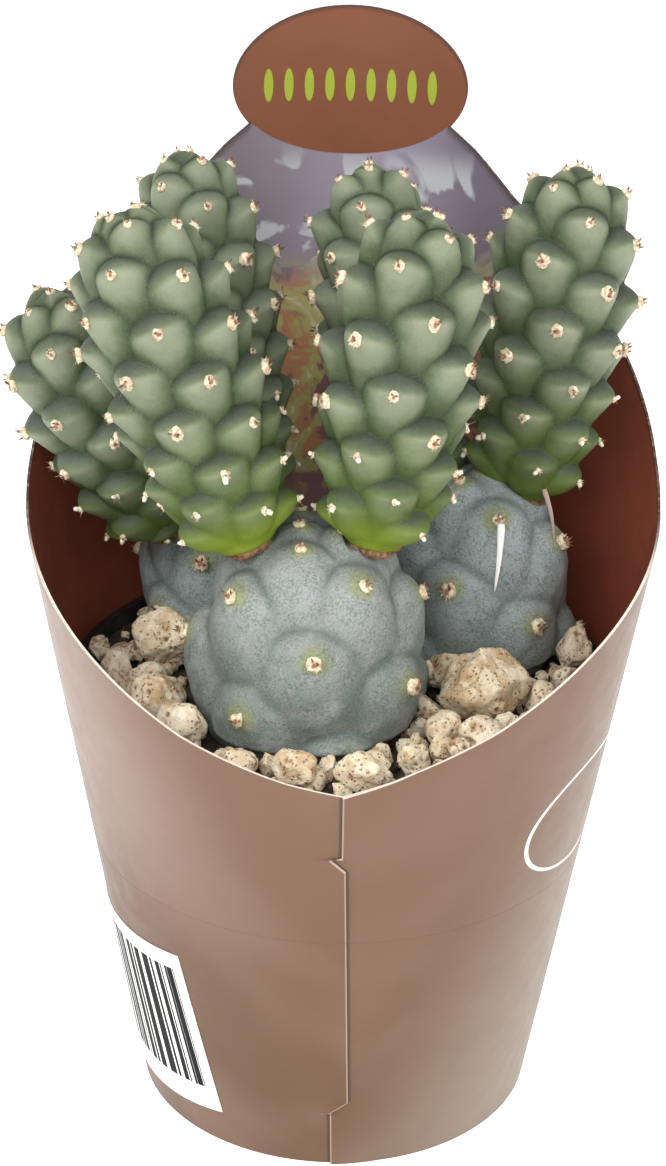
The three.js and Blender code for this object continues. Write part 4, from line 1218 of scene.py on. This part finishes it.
def pot_body(sleeve, s):
    """A lathed pot: its foot, wall and rolled lip are one closed profile."""
    height, lip, wall = s.height / MM, s.lip / MM, s.wall / MM
    under = height - lip
    lip_out = (sleeve.foot_radius + sleeve.flare * s.height) / MM - POT_AIR
    foot, floor, lip_in, inside = (float(pot_outside(sleeve, s, z)) for z in (0, 1.2, under, height))
    shelf, floor, inside = lip_in + s.overhang / MM, floor - wall, inside - wall
    profile = [
        (0, 0.6), (8, 0.6), (19.5, 0.6), (20.2, 0), (foot - 0.3, 0), (foot, 0.3),
        (lip_in, under - 0.2), (lip_in + 0.1, under), (shelf, under), (shelf + 0.1, under + 0.2),
        (lip_out, height - 0.5), (lip_out - 0.15, height - 0.12), (lip_out - 0.45, height),
        (inside + 0.3, height), (inside, height - 0.3), (floor, 1.6), (floor - 0.5, 1.2),
        (18, 1.2), (8, 1.2), (0, 1.2),
    ]
    points = lathed(*np.array(profile, float).T[..., None], POT_SIDES)
    return welded(points.reshape(-1, 3), [grid_faces(*points.shape[:2], around=True)], {})


class MESH_OT_cactus_pot(bpy.types.Operator):
    """Add the black nursery pot with its drain holes"""

    bl_idname = "mesh.cactus_pot"
    bl_label = "Nursery Pot"

    def execute(self, context):
        s = context.scene.cactus_pot
        body = pot_body(context.scene.cactus_sleeve, s)
        pot = add_piece("growing_pot", body, plastic_material(), ["grow_pot"])
        drills = bmesh.new()
        size = {"radius1": s.drain, "radius2": s.drain, "depth": 10 * MM, "segments": 32}
        for i in range(DRAIN_HOLES):
            turn = Matrix.Rotation(i / DRAIN_HOLES * TAU, 4, "Z")
            place = turn @ Matrix.Translation((DRAIN_CIRCLE * MM, 0, 0))
            bmesh.ops.create_cone(drills, cap_ends=True, matrix=place, **size)
        drill_mesh = bpy.data.meshes.new("drills")
        drills.to_mesh(drill_mesh)
        drills.free()
        cutter = bpy.data.objects.new("drills", drill_mesh)
        context.scene.collection.objects.link(cutter)
        cut = pot.modifiers.new("Drain Holes", "BOOLEAN")
        cut.object = cutter
        cut.solver = "EXACT"
        graph = context.evaluated_depsgraph_get()
        drilled = bpy.data.meshes.new_from_object(pot.evaluated_get(graph))
        if len(drilled.polygons) < len(pot.data.polygons):
            raise RuntimeError("the drain holes could not be cut")
        pot.modifiers.clear()
        pot.data = drilled
        drilled.name = "growing_pot"
        drilled.set_sharp_from_angle(angle=math.radians(40))
        bpy.data.objects.remove(cutter)
        return {"FINISHED"}


def soil_top(settings, joints, x, y):
    """Height of the crumbly soil, lowered to a bowl under each grey joint."""
    place = np.stack([x, y], -1)
    rough = settings.roughness / MM
    z = settings.top / MM + rough * (0.5 * waves(place, 4.5, 1) + 0.35 * waves(place, 1.9, 2) - 0.4)
    for joint in joints:
        away = np.hypot(x - joint.base[0], y - joint.base[1])
        widest = joint.out.argmax()
        under = joint.base[2] + np.interp(away, joint.out[:widest], joint.along[:widest], right=99) - 0.5
        z = np.minimum(z, under)
    return z


class MESH_OT_cactus_soil(bpy.types.Operator):
    """Add the potting soil"""

    bl_idname = "mesh.cactus_soil"
    bl_label = "Soil"

    def execute(self, context):
        """A lathed filling of the pot whose top is a height field over rings and bearings."""
        scene = context.scene
        s, pot = scene.cactus_soil, scene.cactus_pot
        joints = grey_joints(scene.cactus_grey)
        wall = pot.wall / MM + 0.25
        edge = float(pot_outside(scene.cactus_sleeve, pot, s.top / MM)) - wall
        foot = float(pot_outside(scene.cactus_sleeve, pot, 1.5)) - wall
        top = lathed(np.linspace(0, 1, SOIL_RINGS)[:, None] ** 0.85 * edge, 0.0, SOIL_SIDES)
        top[..., 2] = soil_top(s, joints, top[..., 0], top[..., 1])
        top[0] = top[0, 0]
        low = [(edge, 48.0), ((edge + foot) / 2, 25.0), (foot, 1.6), (foot / 2, 1.6), (0.0, 1.6)]
        points = np.concatenate([top, lathed(*np.array(low).T[..., None], SOIL_SIDES)])
        faces = grid_faces(*points.shape[:2], around=True, flip=True)
        body = welded(points.reshape(-1, 3), [faces], {})
        add_piece("potting_soil", body, soil_material(), ["soil"])
        return {"FINISHED"}


def icosphere(subdivisions):
    """Corners and triangles of a sphere of radius one."""
    shape = bmesh.new()
    bmesh.ops.create_icosphere(shape, subdivisions=subdivisions, radius=1)
    corners = unit(np.array([vertex.co for vertex in shape.verts]))
    triangles = np.array([[vertex.index for vertex in face.verts] for face in shape.faces])
    shape.free()
    return corners, triangles


def scatter(scene, number, smallest, largest, sunk, stretch, seed):
    """Knocked-about spheres of few faces on the soil, turned at random, none of them inside a grey joint."""
    s, pot = scene.cactus_soil, scene.cactus_pot
    joints = grey_joints(scene.cactus_grey)
    random = np.random.default_rng(seed)
    reach = float(pot_outside(scene.cactus_sleeve, pot, s.top / MM)) - pot.wall / MM - largest
    away = reach * np.sqrt(random.uniform(0, 1, number))
    turn = random.uniform(0, TAU, number)
    x, y = away * np.cos(turn), away * np.sin(turn)
    half = smallest + (largest - smallest) * random.uniform(0, 1, number) ** 1.8
    free = np.ones(number, bool)
    for joint in joints:
        free &= np.hypot(x - joint.base[0], y - joint.base[1]) > joint.radius + half + 0.3
    x, y, half = x[free], y[free], half[free]
    z = soil_top(s, joints, x, y) + half * sunk
    corners, triangles = icosphere(2)
    count = len(x)
    sizes = random.uniform(*stretch, (count, 3)) * half[:, None]
    local = corners * random.uniform(0.76, 1.18, (count, len(corners), 1)) * sizes[:, None]
    turns, _ = np.linalg.qr(random.normal(size=(count, 3, 3)))
    turns = turns * np.sign(np.linalg.det(turns))[:, None, None]
    points = local @ turns + np.stack([x, y, z], -1)[:, None]
    faces = (triangles[None] + (np.arange(count) * len(corners))[:, None, None]).reshape(-1, 3)
    tone = np.repeat(random.uniform(0, 1, count) ** 1.6, len(corners))
    return points.reshape(-1, 3), [faces], {"tone": tone, "pit": np.zeros(len(tone))}


class MESH_OT_cactus_crumbs(bpy.types.Operator):
    """Scatter bark crumbs over the soil between the stones"""

    bl_idname = "mesh.cactus_crumbs"
    bl_label = "Bark Crumbs"

    def execute(self, context):
        number = context.scene.cactus_soil.crumbs
        body = scatter(context.scene, number, 0.3, 1.2, 0.3, ((0.8, 0.5, 0.3), (1.3, 0.9, 0.6)), 21)
        add_piece("soil_crumbs", body, crumb_material(), sharp=30)
        return {"FINISHED"}


class MESH_OT_cactus_grit(bpy.types.Operator):
    """Scatter fine pumice grit between the stones"""

    bl_idname = "mesh.cactus_grit"
    bl_label = "Pumice Grit"

    def execute(self, context):
        number = context.scene.cactus_soil.grit
        body = scatter(context.scene, number, 0.5, 1.9, 0.55, ((0.85, 0.7, 0.6), (1.2, 1.0, 0.9)), 33)
        add_piece("pumice_grit", body, pumice_material(), sharp=35)
        return {"FINISHED"}


# Stones


def ray_reach(directions, corners, planes):
    """How far rays from the origin go to the triangles (number, 3, 3), the furthest hit counting.

    A ray meets a plane at its distance over the cosine, and the hit counts where it lies on the inner side
    of the triangle's three edges.
    """
    normal, distance = planes
    slant = directions @ normal.T
    reach = distance / np.where(np.abs(slant) < 1e-6, 1e-6, slant)
    hit = directions[:, None] * reach[..., None]
    inside = (reach > 0) & (slant > 0)
    for k in range(3):
        edge = corners[:, (k + 1) % 3] - corners[:, k]
        side = np.cross(normal, edge)
        inside &= ((hit - corners[:, k]) * side).sum(-1) > -1e-4
    reach = np.where(inside, reach, 0).max(1)
    return np.where(reach > 0, reach, np.median(reach[reach > 0]))


def stone_body(node, spheres, settings, seed):
    """A finer stone over a CAD stone, from the first of the spheres or, where it is large, the second.

    Its radius in each direction is the CAD stone's, averaged over a small cone of directions so that the
    corners round off, cut back to a few broken faces, then lowered by lumps and by round pits.
    """
    mesh = node.data
    mesh.calc_loop_triangles()
    points = np.zeros(len(mesh.vertices) * 3, np.float32)
    mesh.vertices.foreach_get("co", points)
    points = points.reshape(-1, 3).astype(float) / MM
    index = np.zeros(len(mesh.loop_triangles) * 3, np.int32)
    mesh.loop_triangles.foreach_get("vertices", index)
    corners = points[index.reshape(-1, 3)]
    cross = np.cross(corners[:, 1] - corners[:, 0], corners[:, 2] - corners[:, 0])
    area = np.linalg.norm(cross, axis=1)
    corners, cross, area = corners[area > 1e-6], cross[area > 1e-6], area[area > 1e-6]
    sphere, triangles = spheres[int(np.ptp(points, 0).mean() > 2 * LARGE_STONE)]
    volume = (corners[:, 0] * cross).sum(1)
    centre = (corners.mean(1) * 3 / 4 * volume[:, None]).sum(0) / volume.sum()
    corners = corners - centre
    normal = cross / area[:, None]
    planes = normal, (corners[:, 0] * normal).sum(1)
    random = np.random.default_rng(seed)
    offsets = unit(random.normal(size=(6, 3))) * STONE_CONE
    reach = np.mean([ray_reach(unit(sphere + offset), corners, planes) for offset in offsets], 0)
    facing = unit(random.normal(size=(settings.facets, 3)))
    far = ray_reach(facing, corners, planes) * random.uniform(*BROKEN_SHARE, settings.facets)
    slant = sphere @ facing.T
    reach = np.minimum(reach, np.where(slant > 0.2, far / np.maximum(slant, 0.2), 99).min(1))
    base = sphere * reach[:, None]
    lumps = 0.45 - 0.55 * waves(base, 3.2, seed + 1) - 0.35 * waves(base, 1.3, seed + 2)
    size = reach.mean()
    count = settings.pits
    spots = unit(random.normal(size=(count, 3)))
    wide = PIT_RADII[0] + random.uniform(0, 1, count) ** 3 * (PIT_RADII[1] - PIT_RADII[0])
    gap = np.linalg.norm(sphere[:, None] - spots, axis=-1) * size / wide
    gap = gap * (1 + 0.35 * waves(base, 1.1, seed + 3))[:, None]
    hollow = np.maximum(1 - gap**2, 0) ** 0.6 * (wide / 0.4)
    pit = hollow.max(1)
    if node.name == NOTCHED_STONE:
        reach = reach - NOTCH_DEPTH * size * smoothstep(sphere @ unit(np.array(NOTCH_SIDE)), 0.74, 0.8)
    reach = reach - np.maximum(settings.lumps / MM * lumps, -0.12)
    reach = reach - pit * settings.pit_depth / MM * min(1, size / 3)
    points = sphere * np.maximum(reach, 0.4)[:, None] + centre
    tone = np.full(len(points), 0.0 if node.name == NOTCHED_STONE else random.uniform(0, 1))
    return points, [triangles], {"pit": np.clip(pit, 0, 1), "tone": tone}


class MESH_OT_cactus_stones(bpy.types.Operator):
    """Add the pumice stones"""

    bl_idname = "mesh.cactus_stones"
    bl_label = "Pumice Stones"

    def execute(self, context):
        spheres = icosphere(4), icosphere(5)
        material = pumice_material()
        names = sorted(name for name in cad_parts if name.startswith("stone_"))
        if not names:
            raise RuntimeError("the frame has no stones")
        for seed, name in enumerate(names, 100):
            body = stone_body(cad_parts[name], spheres, context.scene.cactus_stones, seed)
            add_piece(name.replace("stone", "pumice"), body, material, [name])
        return {"FINISHED"}


# Plant


class MESH_OT_cactus_grey_joints(bpy.types.Operator):
    """Add the three old grey joints"""

    bl_idname = "mesh.cactus_grey_joints"
    bl_label = "Grey Joints"

    def execute(self, context):
        scene = context.scene
        guests = green_joints(scene.cactus_green)
        material = grey_skin_material()
        for joint in grey_joints(scene.cactus_grey):
            grid = FRONT_GREY_GRID if "front" in joint.name else BACK_GREY_GRID
            # Painted light on the right and left joints, none on the front one.
            bloom = {"front": 0.0, "right": 0.5, "left": 0.7}[joint.name.split("_")[-1]]
            body = joint.skin(grid, scene.cactus_grey.wrinkle / MM, guests, bloom=bloom)
            add_piece("skin_" + joint.name, body, material, [joint.name])
        return {"FINISHED"}


class MESH_OT_cactus_green_joints(bpy.types.Operator):
    """Add the six young green joints"""

    bl_idname = "mesh.cactus_green_joints"
    bl_label = "Green Joints"

    def execute(self, context):
        scene = context.scene
        material = green_skin_material()
        for joint in green_joints(scene.cactus_green):
            young = 0.85 if "front" in joint.name else 0.25
            # Painted light on the back joints.
            bloom = 0.3 if "back" in joint.name else 0.0
            body = joint.skin(GREEN_GRID, scene.cactus_green.wrinkle / MM, young_base=young, bloom=bloom)
            add_piece("skin_" + joint.name, body, material, [joint.name])
        return {"FINISHED"}


class MESH_OT_cactus_cork(bpy.types.Operator):
    """Add the cork rings where green joints sit on grey ones"""

    bl_idname = "mesh.cactus_cork"
    bl_label = "Cork Rings"

    def execute(self, context):
        """A lumpy tube along the line where the green joint leaves the grey one."""
        scene = context.scene
        hosts = grey_joints(scene.cactus_grey)
        material = cork_material()
        for number, joint in enumerate(green_joints(scene.cactus_green)):
            bearing = np.arange(CORK_TURNS) / CORK_TURNS * TAU
            arc = np.linspace(*CORK_ARCS, CORK_STEPS)[:, None] + 0 * bearing
            points = joint.rim_points(arc, bearing + 0 * arc)
            hidden = np.any([host.covers(points) for host in hosts], 0)
            last = np.where(hidden.any(0), CORK_STEPS - 1 - hidden[::-1].argmax(0), CORK_HIDDEN)
            last = np.clip(last, *CORK_RANGE).astype(float)
            for _ in range(6):
                last = (np.roll(last, 1) + 2 * last + np.roll(last, -1)) / 4
            at = CORK_ARCS[0] + last / (CORK_STEPS - 1) * (CORK_ARCS[1] - CORK_ARCS[0])
            centre, normal, uphill = (vectors[:, None] for vectors in joint.surface(at, bearing))
            turn = (np.arange(CORK_SIDES) / CORK_SIDES * TAU)[:, None]
            ring = normal * np.cos(turn) * CORK_FLATNESS + uphill * np.sin(turn)
            centre = centre + 0.2 * normal
            probe = centre + ring
            size = CORK_SIZE + 0.2 * waves(probe, 2.4, 40 + number) + 0.1 * waves(probe, 0.9, 50 + number)
            points = (centre + ring * np.clip(size, 0.3, 1.2)[..., None]).reshape(-1, 3)
            faces = grid_faces(CORK_TURNS + 1, CORK_SIDES, around=True, flip=True) % len(points)
            name = joint.name.replace("green_joint", "cork_ring")
            add_piece(name, (points, [faces], {}), material)
        return {"FINISHED"}


class MESH_OT_cactus_tufts(bpy.types.Operator):
    """Add the wool and bristles of the areoles"""

    bl_idname = "mesh.cactus_tufts"
    bl_label = "Areole Tufts"

    def execute(self, context):
        scene = context.scene
        s = scene.cactus_tufts
        material = tuft_material()
        spineless = scene.cactus_soil.top / MM + 3.0
        kinds = (
            (grey_joints(scene.cactus_grey), 1.25, 200, 0.0),
            (green_joints(scene.cactus_green), 0.95, 300, 0.42),
        )
        for joints, size, first, tooth_share in kinds:
            for seed, joint in enumerate(joints, first):
                body = tuft_body(joint, s, size, seed, spineless, tooth_share)
                add_piece("tufts_" + joint.name, body, material)
        return {"FINISHED"}


class MESH_OT_cactus_spines(bpy.types.Operator):
    """Add the papery spines on the right grey joint"""

    bl_idname = "mesh.cactus_spines"
    bl_label = "Papery Spines"

    def execute(self, context):
        """Flat blades with a pointed oval section, widest near the root, bent by a soft curve."""
        material = spine_material()
        t = np.linspace(0, 1, SPINE_STEPS)[:, None]
        turn = np.arange(SPINE_SIDES) / SPINE_SIDES * TAU
        for name, root, tip, half, bow, tan in PAPERY_SPINES:
            root, tip, bow = np.array(root), np.array(tip), np.array(bow)
            spine = root + (tip - root) * t + bow * np.sin(math.pi * t)
            along = unit(tip - root)
            side = unit(np.cross(along, np.array([0.0, -1.0, 0.3])))
            face = np.cross(side, along)
            wide = half * np.minimum(1, 0.8 + 3.0 * t) * (1 - t) ** 0.7 + 0.03
            across = np.cos(turn) * wide
            deep = (0.22 * np.sin(turn) - 0.075 * np.cos(2 * turn)) * wide
            points = spine[:, None] + side * across[..., None] + face * deep[..., None]
            place = np.stack(np.broadcast_arrays(t, across / half, tan), -1).reshape(-1, 3)
            ends = np.arange(across.size).reshape(across.shape)[[0, -1]]
            faces = [grid_faces(*across.shape, around=True), ends[:1, ::-1], ends[1:]]
            body = (points.reshape(-1, 3), faces, {"spine_place": place})
            add_piece(name, body, material)
        return {"FINISHED"}


# Studio


class MESH_OT_cactus_studio(bpy.types.Operator):
    """Add the floor, the lights and the camera"""

    bl_idname = "mesh.cactus_studio"
    bl_label = "Studio"

    def execute(self, context):
        scene = context.scene
        s = scene.cactus_studio
        steps = np.linspace(-FLOOR_REACH, FLOOR_REACH, FLOOR_LINES)
        x, y = np.meshgrid(steps, steps)
        floor_mesh = bpy.data.meshes.new("floor")
        points = np.stack([x, y, np.zeros_like(x)], -1).reshape(-1, 3) * MM
        floor_mesh.from_pydata(points.tolist(), [], grid_faces(*x.shape).tolist())
        floor_mesh.materials.append(floor_material())
        floor = bpy.data.objects.new("floor", floor_mesh)
        scene.collection.objects.link(floor)

        world = bpy.data.worlds.new("studio")
        world.use_nodes = True
        background = world.node_tree.nodes["Background"]
        background.inputs["Color"].default_value = (1, 1, 1, 1)
        background.inputs["Strength"].default_value = s.sky
        scene.world = world
        lamps = (
            ("key_light", (-0.15, -0.8, 0.68), 0.7, s.key),
            ("side_light", (-0.62, -0.4, 0.85), 0.6, s.side),
            ("fill_light", (0.7, -0.5, 0.5), 0.8, s.fill),
        )
        for name, place, size, power in lamps:
            lamp = bpy.data.lights.new(name, "AREA")
            lamp.size = size
            lamp.energy = power
            light = bpy.data.objects.new(name, lamp)
            light.location = place
            aim = Matrix.Translation((0, 0, 0.07)).translation - light.location
            light.rotation_euler = aim.to_track_quat("-Z", "Y").to_euler()
            scene.collection.objects.link(light)

        drop, roll = math.radians(CAMERA_DROP), math.radians(CAMERA_ROLL)
        ahead = np.array([0, math.cos(drop), -math.sin(drop)])
        level = np.array([1.0, 0.0, 0.0])
        upright = np.cross(level, ahead)
        right = math.cos(roll) * level + math.sin(roll) * upright
        up = math.cos(roll) * upright - math.sin(roll) * level
        lens = bpy.data.cameras.new("camera")
        lens.lens = CAMERA_LENS
        lens.sensor_width = 36
        lens.shift_x = CAMERA_SHIFT
        lens.clip_start = 0.01
        camera = bpy.data.objects.new("camera", lens)
        turn = np.eye(4)
        turn[:3, :3] = np.stack([right, up, -ahead], -1)
        turn[:3, 3] = np.array(CAMERA_PLACE) * MM
        camera.matrix_world = Matrix(turn.tolist())
        scene.collection.objects.link(camera)
        scene.camera = camera
        scene.view_settings.view_transform = "Standard"
        return {"FINISHED"}


OPERATORS = [
    MESH_OT_cactus_sleeve,
    MESH_OT_cactus_label,
    MESH_OT_cactus_pot,
    MESH_OT_cactus_soil,
    MESH_OT_cactus_crumbs,
    MESH_OT_cactus_grit,
    MESH_OT_cactus_stones,
    MESH_OT_cactus_grey_joints,
    MESH_OT_cactus_green_joints,
    MESH_OT_cactus_cork,
    MESH_OT_cactus_tufts,
    MESH_OT_cactus_spines,
    MESH_OT_cactus_studio,
]


class VIEW3D_PT_cactus(bpy.types.Panel):
    """Buttons for the pieces and the sizes they use"""

    bl_label = "Potted Cactus"
    bl_idname = "VIEW3D_PT_cactus"
    bl_space_type = "VIEW_3D"
    bl_region_type = "UI"
    bl_category = "Potted Cactus"

    def draw(self, context):
        for operator in OPERATORS:
            self.layout.operator(operator.bl_idname)
        for key, group in GROUPS.items():
            column = self.layout.column()
            column.label(text=group.__doc__)
            for name in group.__annotations__:
                column.prop(getattr(context.scene, key), name)


def register():
    for group in GROUPS.values():
        bpy.utils.register_class(group)
    for key, group in GROUPS.items():
        setattr(bpy.types.Scene, key, PointerProperty(type=group))
    for operator in OPERATORS:
        bpy.utils.register_class(operator)
    bpy.utils.register_class(VIEW3D_PT_cactus)


def unregister():
    bpy.utils.unregister_class(VIEW3D_PT_cactus)
    for operator in reversed(OPERATORS):
        bpy.utils.unregister_class(operator)
    for key, group in GROUPS.items():
        delattr(bpy.types.Scene, key)
        bpy.utils.unregister_class(group)


def main():
    register()
    bpy.ops.mesh.cactus_sleeve()
    bpy.ops.mesh.cactus_label()
    bpy.ops.mesh.cactus_pot()
    bpy.ops.mesh.cactus_soil()
    bpy.ops.mesh.cactus_crumbs()
    bpy.ops.mesh.cactus_grit()
    bpy.ops.mesh.cactus_stones()
    bpy.ops.mesh.cactus_grey_joints()
    bpy.ops.mesh.cactus_green_joints()
    bpy.ops.mesh.cactus_cork()
    bpy.ops.mesh.cactus_tufts()
    bpy.ops.mesh.cactus_spines()
    bpy.ops.mesh.cactus_studio()


if __name__ == "__main__":
    main()
